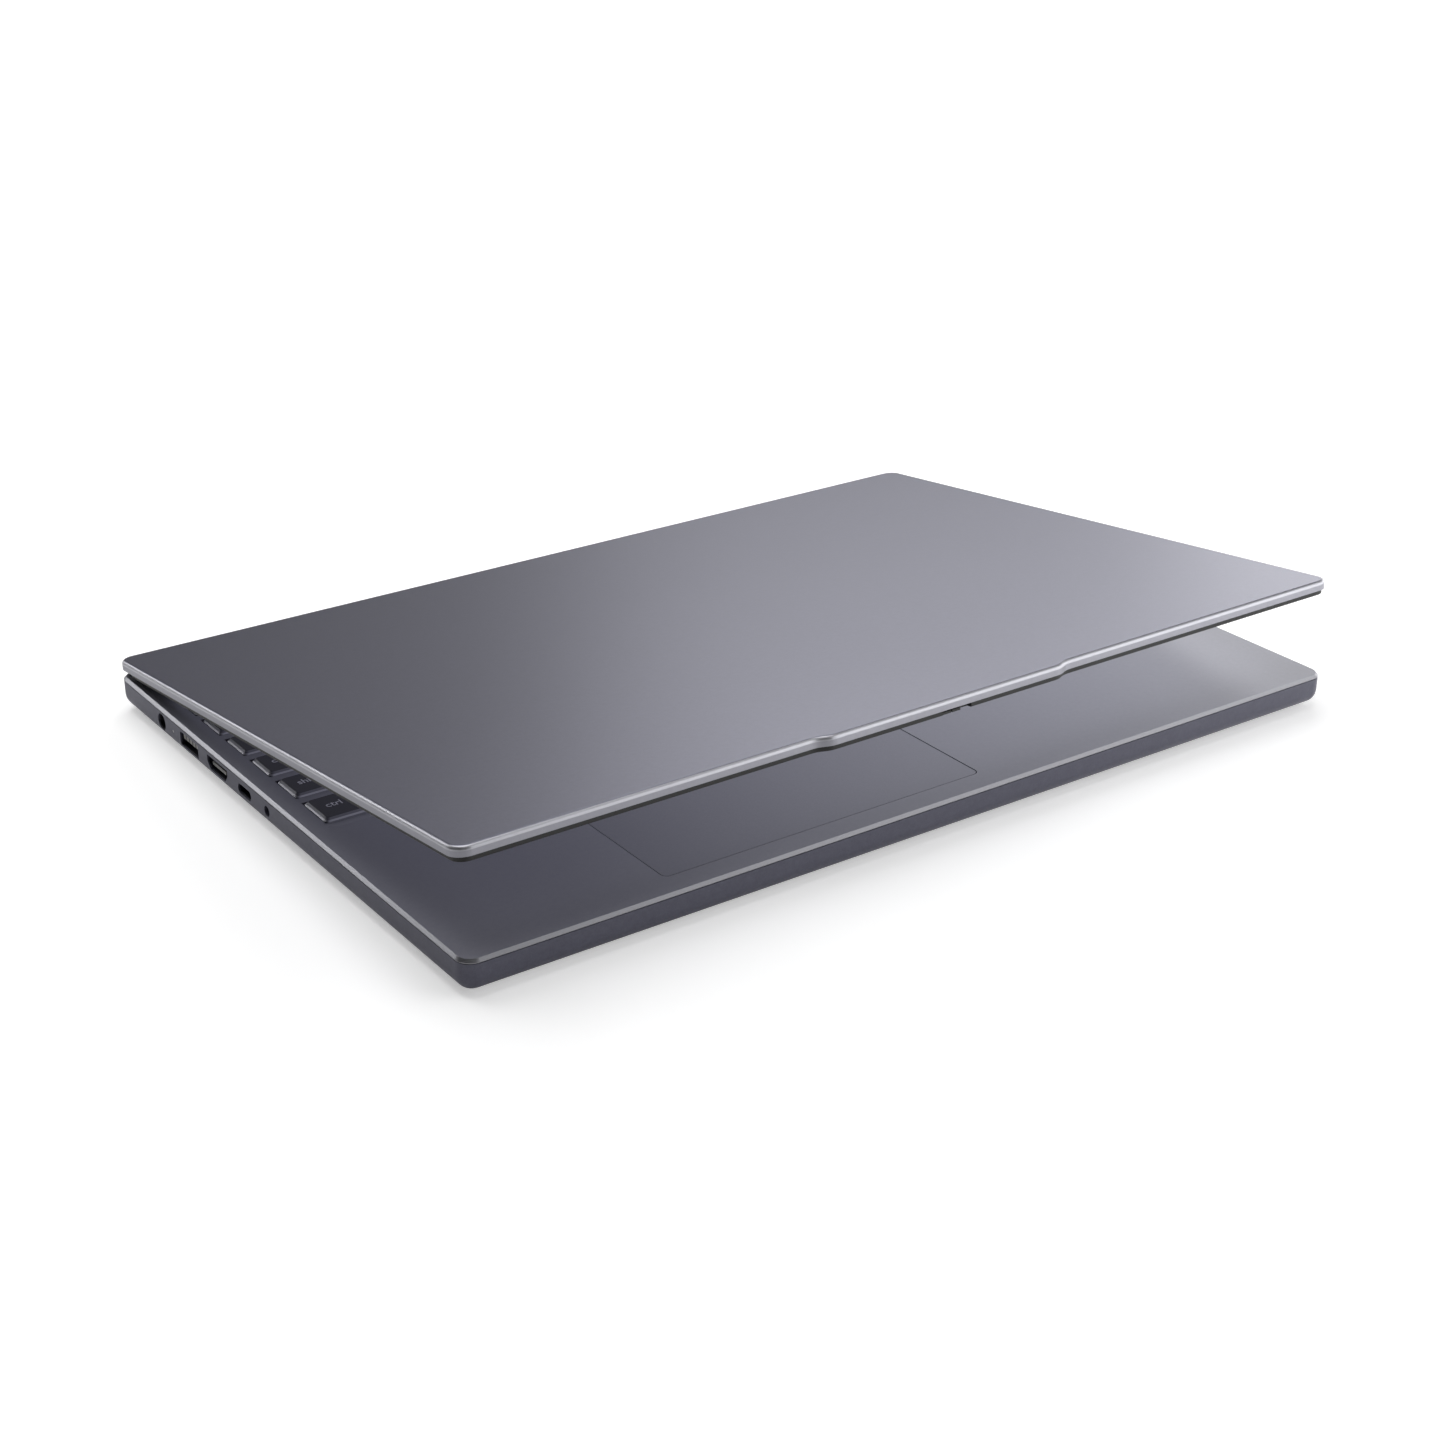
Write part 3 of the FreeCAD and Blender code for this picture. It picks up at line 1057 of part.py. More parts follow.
def cooling():
    """Blower with its rotor, fins in its outlet, and the heat pipe from the processor."""
    x = grow((FAN_X, FAN_X), FAN_R + FAN_WALL)
    y = (FAN_Y - FAN_R - FAN_WALL, FIN_Y[0] - 0.2)
    z = (FAN_Z, FAN_TOP)
    case = slab(x, y, z, 6.0)
    hollow_z = grow(z, -FAN_WALL)
    hollow = rod_z(FAN_X, FAN_Y, FAN_R, hollow_z)
    outlet = block(grow((FAN_X, FAN_X), FAN_R), (FAN_Y, y[1] + 1), hollow_z)
    inlet = rod_z(FAN_X, FAN_Y, FAN_INLET_R, grow(z, 1.0))
    floor_z = (FAN_Z, FAN_Z + FAN_WALL)
    centre = rod_z(FAN_X, FAN_Y, HUB_R, floor_z)
    spindle = rod_z(FAN_X, FAN_Y, FAN_SPINDLE_R, (FAN_Z, hollow_z[1] - 1.0))
    spokes = []
    for turn in (30, 150, 270):
        spoke = block((0, FAN_INLET_R + 1), (-1.0, 1.0), floor_z)
        spoke.rotate(V(0, 0, 0), V(0, 0, 1), turn)
        spoke.translate(V(FAN_X, FAN_Y, 0))
        spokes.append(spoke)
    case = case.cut([hollow, outlet, inlet]).fuse([centre, spindle] + spokes)
    save("fan_housing", case.removeSplitter())

    rotor_z = (hollow_z[0] + 0.3, hollow_z[1] - 0.3)
    hub = rod_z(0, 0, HUB_R, rotor_z)
    tip = FAN_R - 2.0
    sweep = math.radians(28.0)
    blade_z = (rotor_z[0] + 0.2, rotor_z[1] - 0.6)
    root = V(HUB_R - 0.8, 0, blade_z[0])
    end = V(tip * math.cos(sweep), tip * math.sin(sweep), blade_z[0])
    belly = V((HUB_R + tip) / 2, 2.0, blade_z[0])
    inside = [root, belly, end]
    middle = arc_edge(*inside).Curve.Center
    outside = [p + (p - middle).normalize() * BLADE_T for p in inside]
    edges = [
        arc_edge(*inside),
        Part.makeLine(inside[2], outside[2]),
        arc_edge(*outside[::-1]),
        Part.makeLine(outside[0], inside[0]),
    ]
    blade = Part.Face(Part.Wire(edges)).extrude(V(0, 0, blade_z[1] - blade_z[0]))
    blades = []
    for index in range(FAN_BLADES):
        copy = blade.copy()
        copy.rotate(V(0, 0, 0), V(0, 0, 1), 360.0 * index / FAN_BLADES)
        blades.append(copy)
    bore = rod_z(0, 0, FAN_SPINDLE_R + PIN_FIT, grow(rotor_z, 1.0))
    rotor = hub.fuse(blades).cut(bore)
    rotor.translate(V(FAN_X, FAN_Y, 0))
    save("fan_rotor", rotor)

    fin_x = grow((FAN_X, FAN_X), FAN_R - 1.0)
    fin_z = (FAN_Z, PIPE_Z)
    stack = [
        block(fin_x, FIN_Y, (fin_z[0], fin_z[0] + FIN_T)),
        block(fin_x, FIN_Y, (fin_z[1] - FIN_T, fin_z[1])),
    ]
    pitch = (fin_x[1] - fin_x[0] - FIN_T) / (FIN_COUNT - 1)
    for index in range(FIN_COUNT):
        left = fin_x[0] + index * pitch
        stack.append(block((left, left + FIN_T), FIN_Y, fin_z))
    save("heat_sink_fins", stack[0].fuse(stack[1:]).removeSplitter())

    half = PIPE_W / 2
    chip_x, chip_y = chip_place()
    fin_line = (FIN_Y[0] + FIN_Y[1]) / 2
    rise_x = BOARD_X[1] - 4.0
    low = (chip_x - DIE_W / 2 - 3.0, rise_x - PIPE_BEND)
    pipe = [
        block(low, grow((chip_y, chip_y), half), (PIPE_Z, PIPE_TOP)),
        block(grow((rise_x, rise_x), half), (chip_y + PIPE_BEND, fin_line - PIPE_BEND), (PIPE_Z, PIPE_TOP)),
        block((rise_x + PIPE_BEND, fin_x[1]), grow((fin_line, fin_line), half), (PIPE_Z, PIPE_TOP)),
        quarter_bend(rise_x - PIPE_BEND, chip_y + PIPE_BEND, 1, -1),
        quarter_bend(rise_x + PIPE_BEND, fin_line - PIPE_BEND, -1, 1),
    ]
    plate_x = grow((chip_x, chip_x), COLD_PLATE_W / 2)
    plate_y = grow((chip_y, chip_y), COLD_PLATE_D / 2)
    plate = slab(plate_x, plate_y, (CHIP_TOP, PIPE_Z), 2.0)
    save("heat_pipe", plate.fuse(pipe).removeSplitter())


def quarter_bend(x, y, side_x, side_y):
    """A quarter turn of the flat heat pipe about an upright axis."""
    height = PIPE_TOP - PIPE_Z
    outer = Part.makeCylinder(PIPE_BEND + PIPE_W / 2, height, V(x, y, PIPE_Z))
    inner = Part.makeCylinder(PIPE_BEND - PIPE_W / 2, height, V(x, y, PIPE_Z))
    far = PIPE_BEND + PIPE_W
    quarter = block(sorted((x, x + side_x * far)), sorted((y, y + side_y * far)), (PIPE_Z, PIPE_TOP))
    return outer.cut(inner).common(quarter)


def chip_place():
    """The middle of the processor."""
    x = BOARD_X[0] + CHIP_SHARE[0] * (BOARD_X[1] - BOARD_X[0])
    return (x, BOARD_Y[0] + CHIP_SHARE[1] * BOARD_D)


def card(x, y, chips):
    """A plug-in card on its edge connector; each chip's ends are shares of the card's length."""
    low = BOARD_TOP + CARD_LIFT
    top = low + CARD_BOARD_T
    body = block(x, y, (low, top))
    notch = block((x[0] - 1, x[0] + 3.5), (y[0] + 4.0, y[0] + 5.5), (low - 1, top + 1))
    length = x[1] - x[0]
    pads = []
    for start, end in chips:
        chip_x = (x[0] + start * length, x[0] + end * length)
        pads.append(block(chip_x, grow(y, -0.1 * length), (top, top + CARD_CHIP_H)))
    return body.cut(notch).fuse(pads).removeSplitter()


def edge_connector(x, y):
    """The slot on the board that one card's end stands in, with a rest for its far end."""
    low = (x[0] - 3.0, x[0])
    socket_z = (BOARD_TOP, BOARD_TOP + CARD_LIFT + CARD_BOARD_T + 0.6)
    socket_block = block(low, grow(y, 1.5), socket_z)
    rest = rod_z(x[1] - 2.0, (y[0] + y[1]) / 2, 1.8, (BOARD_TOP, BOARD_TOP + CARD_LIFT))
    return [socket_block, rest]


def boards():
    """Main board, its plug-in cards, the right-hand board and the ribbon between them."""
    chip_x, chip_y = chip_place()
    left = chip_x - COLD_PLATE_W / 2 - CARD_ROOM
    memory = ((left - MEMORY_W, left), (BOARD_Y[1] - 12.0 - MEMORY_D, BOARD_Y[1] - 12.0))
    drive = ((chip_x + 10.0, chip_x + 10.0 + DRIVE_W), (BOARD_Y[0] + 8.0, BOARD_Y[0] + 8.0 + DRIVE_D))
    left -= 14.0
    radio = ((left - RADIO_W, left), (BOARD_Y[0] + 30.0, BOARD_Y[0] + 30.0 + RADIO_D))
    ribbon_y = (IO_Y[1] - 34.0, IO_Y[1] - 26.0)
    plain = block(BOARD_X, BOARD_Y, (BOARD_Z, BOARD_TOP))
    corner = slab(
        (BOARD_X[0] - 5, BOARD_X[0] + 12.0),
        (BOARD_Y[0] - 5, BOARD_Y[0] + 9.0),
        (BOARD_Z - 1, BOARD_TOP + 1),
        2.0,
    )
    holes = []
    for x, y in board_screw_places():
        holes.append(rod_z(x, y, SCREW_R + SCREW_FIT, grow((BOARD_Z, BOARD_TOP), 1)))
    parts_on_board = edge_connector(*memory) + edge_connector(*drive) + edge_connector(*radio)
    coil_y = (chip_y + 22.0, chip_y + 28.0)
    for index in range(6):
        x = chip_x - 22.0 + index * 8.5
        parts_on_board.append(block((x, x + 6.0), coil_y, (BOARD_TOP, BOARD_TOP + 1.8)))
    store_y = (chip_y - 33.0, chip_y - 21.0)
    for index in range(4):
        x = chip_x - 24.0 + index * 14.0
        parts_on_board.append(block((x, x + 10.0), store_y, (BOARD_TOP, CHIP_TOP - 0.2)))
    end = (BOARD_X[1] - 6.0, BOARD_X[1] - 1.0)
    parts_on_board.append(block(end, grow(ribbon_y, 1.5), (BOARD_TOP, BOARD_TOP + 1.5)))
    main = plain.cut([corner] + holes).fuse(parts_on_board)
    save("motherboard", main.removeSplitter())
    package_top = BOARD_TOP + PACKAGE_T
    package_x = grow((chip_x, chip_x), PACKAGE_W / 2)
    package = block(package_x, grow((chip_y, chip_y), PACKAGE_D / 2), (BOARD_TOP, package_top))
    die_x = grow((chip_x, chip_x), DIE_W / 2)
    die = block(die_x, grow((chip_y, chip_y), DIE_D / 2), (package_top, CHIP_TOP))
    save("processor", package.fuse(die).removeSplitter())
    save("memory_module", card(*memory, ((0.12, 0.32), (0.40, 0.60), (0.68, 0.88))))
    save("solid_state_drive", card(*drive, ((0.19, 0.43), (0.52, 0.86))))
    save("wifi_card", card(*radio, ((0.23, 0.73),)))

    small = slab(IO_X, IO_Y, (BOARD_Z, BOARD_TOP), 1.5)
    small = small.cut(holes)
    end = (IO_X[0] + 1.0, IO_X[0] + 6.0)
    small = small.fuse(block(end, grow(ribbon_y, 1.5), (BOARD_TOP, BOARD_TOP + 1.5)))
    save("io_board", small.removeSplitter())
    ribbon = block((BOARD_X[1] - 1.0, IO_X[0] + 1.0), ribbon_y, (BOARD_TOP + 0.5, BOARD_TOP + 0.8))
    save("io_cable", ribbon)


def battery_and_speakers():
    """Flat battery of several cells, and a speaker box in each front corner."""
    x = grow((0, 0), BATTERY_HALF)
    base = FLOOR + SEAT
    tray = slab(x, BATTERY_Y, (base, base + 0.8), 2.0)
    width = (2 * BATTERY_HALF - 2.0) / BATTERY_CELLS
    cells = []
    for index in range(BATTERY_CELLS):
        left = x[0] + 1.0 + index * width
        cell = slab((left + 0.4, left + width - 0.4), grow(BATTERY_Y, -1.0), (base + 0.8, BATTERY_TOP), 2.0)
        cells.append(cell.makeFillet(0.8, level_edges(cell, BATTERY_TOP)))
    control = block(grow((0, 0), 45.0), (BATTERY_Y[1], BATTERY_Y[1] + 7.0), (base, base + 2.0))
    save("battery_pack", tray.fuse(cells + [control]).removeSplitter())

    speakers = []
    for side in (-1, 1):
        middle = side * SPEAKER_X
        y = (POST_INSET_FRONT + 5.0 - HALF_D, POST_INSET_FRONT + 5.0 - HALF_D + SPEAKER_D)
        z = (FLOOR + 0.35, FLOOR + 0.35 + SPEAKER_H)
        box = slab(grow((middle, middle), SPEAKER_W / 2), y, z, 4.0)
        box = box.makeFillet(0.8, level_edges(box, z[1]))
        cone = Part.makeCone(8.0, 4.0, 1.6, V(middle, y[0] + 12.0, z[0]))
        speakers.append(box.cut(cone))
    save("speakers", *speakers)


def feet():
    """Rubber strips under the base: one long at the rear, two short at the front."""
    rear = (HALF_D - FOOT_INSET - FOOT_W / 2, HALF_D - FOOT_INSET + FOOT_W / 2)
    front = (FRONT_FOOT_INSET - FOOT_W / 2 - HALF_D, FRONT_FOOT_INSET + FOOT_W / 2 - HALF_D)
    short = (HALF_W - 54.0 - FRONT_FOOT_L, HALF_W - 54.0)
    plans = [
        (grow((0, 0), REAR_FOOT_L / 2), rear),
        (short, front),
        ((-short[1], -short[0]), front),
    ]
    strips = []
    for x, y in plans:
        strip = slab(x, y, (0.0, FOOT_H), FOOT_W / 2 - 0.05)
        strips.append(strip.makeFillet(0.5, level_edges(strip, 0.0)))
    save("rubber_feet", *strips)


os.makedirs("parts", exist_ok=True)
palm_rest()
keyboard()
bottom_cover()
vent_grilles()
feet()
touchpad()
power_button()
side_sockets()
boards()
cooling()
battery_and_speakers()
lid_cover()
screen_bezel()
hinge_cap()
display_panel()
hinges()
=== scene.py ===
import json
import math

import bpy
import numpy as np
from mathutils import Matrix, Vector


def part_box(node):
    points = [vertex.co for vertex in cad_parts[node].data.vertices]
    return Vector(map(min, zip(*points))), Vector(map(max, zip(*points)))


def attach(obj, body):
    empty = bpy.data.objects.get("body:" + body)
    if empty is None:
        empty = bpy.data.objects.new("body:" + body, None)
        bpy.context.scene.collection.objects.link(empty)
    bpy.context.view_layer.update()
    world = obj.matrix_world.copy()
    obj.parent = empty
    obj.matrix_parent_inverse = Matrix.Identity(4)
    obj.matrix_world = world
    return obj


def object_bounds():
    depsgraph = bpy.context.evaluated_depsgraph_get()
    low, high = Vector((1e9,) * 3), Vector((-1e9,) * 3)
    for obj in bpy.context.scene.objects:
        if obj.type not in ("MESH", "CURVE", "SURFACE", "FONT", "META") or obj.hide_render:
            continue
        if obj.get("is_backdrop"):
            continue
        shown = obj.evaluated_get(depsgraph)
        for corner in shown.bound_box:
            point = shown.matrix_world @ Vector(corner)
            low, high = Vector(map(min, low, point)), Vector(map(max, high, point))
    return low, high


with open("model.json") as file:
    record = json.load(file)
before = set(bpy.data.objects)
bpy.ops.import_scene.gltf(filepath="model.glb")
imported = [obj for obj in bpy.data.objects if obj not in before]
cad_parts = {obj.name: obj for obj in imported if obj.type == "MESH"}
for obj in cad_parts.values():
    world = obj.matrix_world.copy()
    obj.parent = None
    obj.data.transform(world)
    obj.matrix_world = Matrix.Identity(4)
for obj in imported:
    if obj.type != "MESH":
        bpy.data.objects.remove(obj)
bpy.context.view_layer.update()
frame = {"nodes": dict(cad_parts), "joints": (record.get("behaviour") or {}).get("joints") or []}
nodes = frame["nodes"]


# Lower case: a deep-drawn tray of light alloy with round lower edges, blasted with
# fine beads and dyed grey, so that it has a satin sheen with a very fine grain.
class Signal:
    """An output of a material's nodes. Arithmetic on signals adds Math nodes."""

    def __init__(self, tree, socket=None):
        self.tree = tree
        self.socket = socket

    def node(self, kind, settings, sockets, out=0):
        """Adds a node of a type: settings first, then a value or link for each socket."""
        made = self.tree.nodes.new("ShaderNode" + kind)
        for name, value in settings.items():
            setattr(made, name, value)
        for name, value in sockets.items():
            if isinstance(value, Signal):
                self.tree.links.new(value.socket, made.inputs[name])
            else:
                made.inputs[name].default_value = value
        return Signal(self.tree, made.outputs[out])

    def math(self, operation, *values):
        return self.node("Math", {"operation": operation}, dict(enumerate(values)))

    def __add__(self, other):
        return self.math("ADD", self, other)

    def __sub__(self, other):
        return self.math("SUBTRACT", self, other)

    def __rsub__(self, other):
        return self.math("SUBTRACT", other, self)

    def __mul__(self, other):
        return self.math("MULTIPLY", self, other)

    def __truediv__(self, other):
        return self.math("DIVIDE", self, other)

    def __pow__(self, other):
        return self.math("POWER", self, other)

    def __abs__(self):
        return self.math("ABSOLUTE", self)

    def __gt__(self, other):
        return self.math("GREATER_THAN", self, other)

    def __lt__(self, other):
        return self.math("LESS_THAN", self, other)

    __radd__ = __add__
    __rmul__ = __mul__

    def clipped(self):
        """The signal held between 0 and 1."""
        return self.node("Clamp", {}, {0: self})

    def fraction(self):
        """What is left of the signal above the whole number below it."""
        return self.math("FRACT", self)

    def at_least(self, low):
        """The signal, or low where the signal is less."""
        return self.math("MAXIMUM", self, low)

    def blend(self, low, high):
        """A colour that goes from low to high as the signal goes from 0 to 1."""
        return self.node("Mix", {"data_type": "RGBA"}, {0: self, 6: low, 7: high}, 2)

    def speckle(self, size, detail=2.0):
        """Smooth noise from 0 to 1 with grains about this many metres across."""
        return self.node("TexNoise", {}, {"Vector": self, "Scale": 0.5 / size, "Detail": detail})

    def bands(self, direction, scale, distortion=0.0):
        """Smooth stripes from 0 to 1 that follow each other in some direction."""
        sockets = {"Vector": self, "Scale": scale, "Distortion": distortion}
        return self.node("TexWave", {"bands_direction": direction}, sockets)

    def stretched(self, factor):
        """The place of a point with its X shrunk by some factor, which draws marks out along X."""
        return self.node("Mapping", {}, {"Vector": self, "Scale": (factor, 1.0, 1.0)})

    def axis(self, which):
        """One coordinate of a point, in metres."""
        return self.node("SeparateXYZ", {}, {0: self}, which)

    def relief(self, depth, strength=1.0):
        """A normal bent by the signal taken as a height of up to this many metres."""
        sockets = {"Height": self, "Distance": depth, "Strength": strength}
        return self.node("Bump", {}, sockets)


def new_finish(name):
    """An empty material, and the place of a point on the object in metres as a signal."""
    made = bpy.data.materials.new(name)
    made.use_nodes = True
    place = Signal(made.node_tree).node("TexCoord", {}, {}, "Object")
    return made, place


def dress(finish, sockets, *pieces):
    """Sets the values and links of the finish's shader, and gives it to CAD pieces."""
    tree = finish.node_tree
    shader = tree.nodes["Principled BSDF"]
    for name, value in sockets.items():
        if isinstance(value, Signal):
            tree.links.new(value.socket, shader.inputs[name])
        else:
            shader.inputs[name].default_value = value
    for piece in pieces:
        nodes[piece].data.materials.clear()
        nodes[piece].data.materials.append(finish)


def satin_alloy(name, dark, light, metallic, roughness, piece, polish=None, cut=0.0, smooth=0.0):
    """Bead-blasted alloy: two sizes of grain in the colour and in relief.

    polish(place) is 1 where an edge was cut after dyeing: it shows metal this bright and smooth.
    """
    finish, place = new_finish(name)
    coarse = place.speckle(0.0009)
    fine = place.speckle(0.0003)
    cloud = place.speckle(0.060)
    grain = coarse * 0.5 + fine * 0.5
    sockets = {
        "Base Color": grain.blend(dark, light),
        "Metallic": metallic,
        "Roughness": roughness - 0.05 + grain * 0.06 + cloud * 0.04,
        "Normal": (coarse * 0.6 + fine * 0.4).relief(0.00003, 0.35),
    }
    if polish:
        bright = polish(place)
        clean = grain.blend((0.9 * cut, 0.9 * cut, 0.98 * cut, 1), (1.1 * cut, 1.1 * cut, 1.18 * cut, 1))
        sockets["Base Color"] = bright.blend(sockets["Base Color"], clean)
        sockets["Metallic"] = bright * (0.85 - metallic) + metallic
        sockets["Roughness"] = sockets["Roughness"] - bright * smooth
    dress(finish, sockets, piece)


satin_alloy(
    "satin_cover_alloy", (0.074, 0.074, 0.105, 1), (0.138, 0.138, 0.180, 1), 0.40, 0.45,
    "bottom_cover",
)


# Deck: a pressed alloy plate with round corners, a sunken key well and a chamfer cut bright
# round its upper edge, dropped over the rim of the lower case.
DECK_ROUND = 0.0052
DECK_CHAMFER = 0.0009


def deck_chamfer(place):
    """1 within a chamfer's width of the deck's outline, by its distance to the outline.

    For a box of half sizes h with corners of radius r: |max(|p - middle| - h + r, 0)| - r.
    """
    low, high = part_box("palm_rest")
    middle = (low + high) / 2
    straight = (high - low) / 2 - Vector((DECK_ROUND, DECK_ROUND, 0))
    out_x = (abs(place.axis(0) - middle.x) - straight.x).at_least(0.0)
    out_y = (abs(place.axis(1) - middle.y) - straight.y).at_least(0.0)
    inside = DECK_ROUND - (out_x * out_x + out_y * out_y) ** 0.5
    return inside < DECK_CHAMFER


satin_alloy(
    "satin_deck_alloy", (0.196, 0.196, 0.228, 1), (0.252, 0.252, 0.288, 1), 0.25, 0.45,
    "palm_rest", deck_chamfer, 0.30, 0.09,
)


# Vent inserts: slotted panels of matt dark plastic, moulded with a flange and snapped into
# the floor of the lower case from inside.
def moulded(name, dark, light, roughness, *pieces):
    """Moulded plastic: a spark-eroded texture in relief, and a little cloud in the colour."""
    finish, place = new_finish(name)
    texture = place.speckle(0.0004, 3.0)
    cloud = place.speckle(0.012)
    sockets = {
        "Base Color": (texture * 0.4 + cloud * 0.6).blend(dark, light),
        "Roughness": roughness - 0.08 + texture * 0.16,
        "Normal": texture.relief(0.00004, 0.5),
    }
    dress(finish, sockets, *pieces)


moulded("vent_plastic", (0.040, 0.040, 0.048, 1), (0.062, 0.062, 0.072, 1), 0.55, "vent_grilles")


# Feet: strips of soft black rubber, moulded with round ends and glued into the floor of the
# lower case; dust has made them paler in patches.
def rubber(name, *pieces):
    """Soft rubber with dusty patches and a fine pitted skin."""
    finish, place = new_finish(name)
    pits = place.speckle(0.0005, 4.0)
    dust = (place.speckle(0.010, 4.0) * 2.4 - 0.9).clipped()
    sockets = {
        "Base Color": dust.blend((0.016, 0.016, 0.017, 1), (0.046, 0.045, 0.043, 1)),
        "Roughness": 0.72 + dust * 0.18,
        "Normal": pits.relief(0.00006, 0.6),
    }
    dress(finish, sockets, *pieces)


rubber("foot_rubber", "rubber_feet")


# Circuit boards: glass-fibre laminate under green solder mask, with copper runs that show
# as raised paler lines; the plug-in cards stand in edge connectors and the boards on screws.
def circuit_board(name, mask_dark, mask_light, *pieces):
    """Solder mask over runs of copper: bands of two crossing waves, thinned by noise."""
    finish, place = new_finish(name)
    region = place.speckle(0.009)
    along = place.bands("X", 210.0, 3.0)
    across = place.bands("Y", 260.0, 2.0)
    runs = (region > 0.5) * (along > 0.72) + (region < 0.5) * (across > 0.74)
    vias = place.node("TexVoronoi", {}, {"Vector": place, "Scale": 420.0}) < 0.16
    copper = (runs * 0.55 + vias * 0.8).clipped()
    sockets = {
        "Base Color": copper.blend(mask_dark, mask_light),
        "Roughness": 0.34 + copper * 0.10,
        "Normal": copper.relief(0.00005, 0.5),
        "Coat Weight": 0.3,
    }
    dress(finish, sockets, *pieces)


circuit_board(
    "green_solder_mask", (0.008, 0.060, 0.036, 1), (0.040, 0.170, 0.095, 1),
    "motherboard", "io_board", "touchpad_board",
)
circuit_board(
    "black_solder_mask", (0.010, 0.013, 0.016, 1), (0.055, 0.060, 0.050, 1),
    "memory_module", "solid_state_drive", "wifi_card", "camera_module",
)


# Processor: a moulded package soldered to the board, with a polished bare die on top that
# the cold plate of the heat pipe presses on.
package_finish, place = new_finish("chip_package")
lapping = place.bands("DIAGONAL", 2600.0, 1.5)
die_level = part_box("processor")[1].z - 0.0003
die = place.axis(2) > die_level
dress(
    package_finish,
    {
        "Base Color": die.blend((0.030, 0.042, 0.034, 1), (0.16, 0.17, 0.19, 1)),
        "Metallic": die * 0.7,
        "Roughness": 0.50 - die * 0.32 + lapping * 0.06,
        "Normal": lapping.relief(0.000004, 0.3),
    },
    "processor",
)


# Cooling: a bent flat copper pipe on a cold plate, soldered to a stack of thin copper fins
# behind the blower; the copper has darkened a little in the heat.
copper_finish, place = new_finish("darkened_copper")
drawn = place.stretched(0.05).speckle(0.0005, 3.0)
tarnish = (place.speckle(0.008, 4.0) * 2.2 - 0.6).clipped()
dress(
    copper_finish,
    {
        "Base Color": tarnish.blend((0.62, 0.27, 0.13, 1), (0.30, 0.125, 0.065, 1)),
        "Metallic": 0.95,
        "Roughness": 0.28 + tarnish * 0.20 + drawn * 0.06,
        "Normal": drawn.relief(0.00001, 0.5),
    },
    "heat_pipe", "heat_sink_fins", "wifi_antennas",
)
moulded(
    "blower_plastic", (0.016, 0.016, 0.018, 1), (0.030, 0.030, 0.033, 1), 0.42,
    "fan_housing", "fan_rotor",
)


# Battery: flat cells in crinkled black film on a thin tray. The two speaker boxes beside it
# and the ribbon to the right-hand board are black plastic too.
film_finish, place = new_finish("battery_film")
crinkle = place.speckle(0.004, 5.0)
dress(
    film_finish,
    {
        "Base Color": crinkle.blend((0.014, 0.014, 0.016, 1), (0.040, 0.040, 0.045, 1)),
        "Roughness": 0.26 + crinkle * 0.22,
        "Normal": crinkle.relief(0.00025, 0.5),
    },
    "battery_pack",
)
moulded(
    "speaker_plastic", (0.014, 0.014, 0.015, 1), (0.028, 0.028, 0.030, 1), 0.60,
    "speakers", "io_cable",
)


# Sockets in the side walls: folded steel shells, blackened, round a moulded tongue with a
# row of bright contacts. The power inlet and the audio socket are moulded blocks with a bore.
def socket_finish(name, tongue, pitch, piece):
    """Blackened steel and dark plastic with faint rolling marks, and paler contacts.

    tongue is a box, its low and high corners in metres, and pitch the contacts' spacing.
    """
    finish, place = new_finish(name)
    rolled = place.stretched(0.06).speckle(0.0006, 3.0)
    cloud = place.speckle(0.004)
    on_tongue = 1.0
    for which, (low, high) in enumerate(zip(*tongue)):
        on_tongue = on_tongue * (abs(place.axis(which) - (low + high) / 2) < (high - low) / 2 + 0.00004)
    contact = ((place.axis(1) - tongue[0][1]) / pitch).fraction() < 0.45
    shell = cloud.blend((0.010, 0.010, 0.018, 1), (0.024, 0.024, 0.038, 1))
    moulding = contact.blend((0.05, 0.05, 0.06, 1), (0.33, 0.32, 0.29, 1))
    sockets = {
        "Base Color": on_tongue.blend(shell, moulding),
        "Metallic": 0.35 - on_tongue * 0.25,
        "Roughness": 0.34 + rolled * 0.16,
        "Normal": rolled.relief(0.00001, 0.5),
    }
    dress(finish, sockets, piece)


SHELL_BACK = 0.0008
MOUTH_REACH = 0.0005


def tongue_box(piece, half_width, low_z, high_z):
    """Low and high corners of a socket's tongue: centred on the piece, at stated heights."""
    low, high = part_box(piece)
    middle = (low + high) / 2
    inner_low, inner_high = low.x - MOUTH_REACH, high.x - SHELL_BACK
    if middle.x > 0:
        inner_low, inner_high = low.x + SHELL_BACK, high.x + MOUTH_REACH
    return (inner_low, middle.y - half_width, low_z), (inner_high, middle.y + half_width, high_z)


tongue_boxes = {}
for piece, half_width, low_z, high_z, pitch in (
    ("usb_a_port_left", 0.0056, 0.0076, 0.00915, 0.0025),
    ("usb_a_port_right", 0.0056, 0.0076, 0.00915, 0.0025),
    ("hdmi_port", 0.0049, 0.0070, 0.0082, 0.001),
    ("usb_c_port", 0.00295, 0.00705, 0.00775, 0.0005),
):
    tongue_boxes[piece] = tongue_box(piece, half_width, low_z, high_z)
    socket_finish(piece + "_shell", tongue_boxes[piece], pitch, piece)


def add_piece(name, points, faces, finish, body):
    """A new piece from rows of points and faces, with a finish, riding on a body."""
    mesh = bpy.data.meshes.new(name)
    mesh.from_pydata(points.tolist(), [], faces.tolist())
    mesh.materials.append(finish)
    piece = bpy.data.objects.new(name, mesh)
    bpy.context.scene.collection.objects.link(piece)
    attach(piece, body)
    return mesh


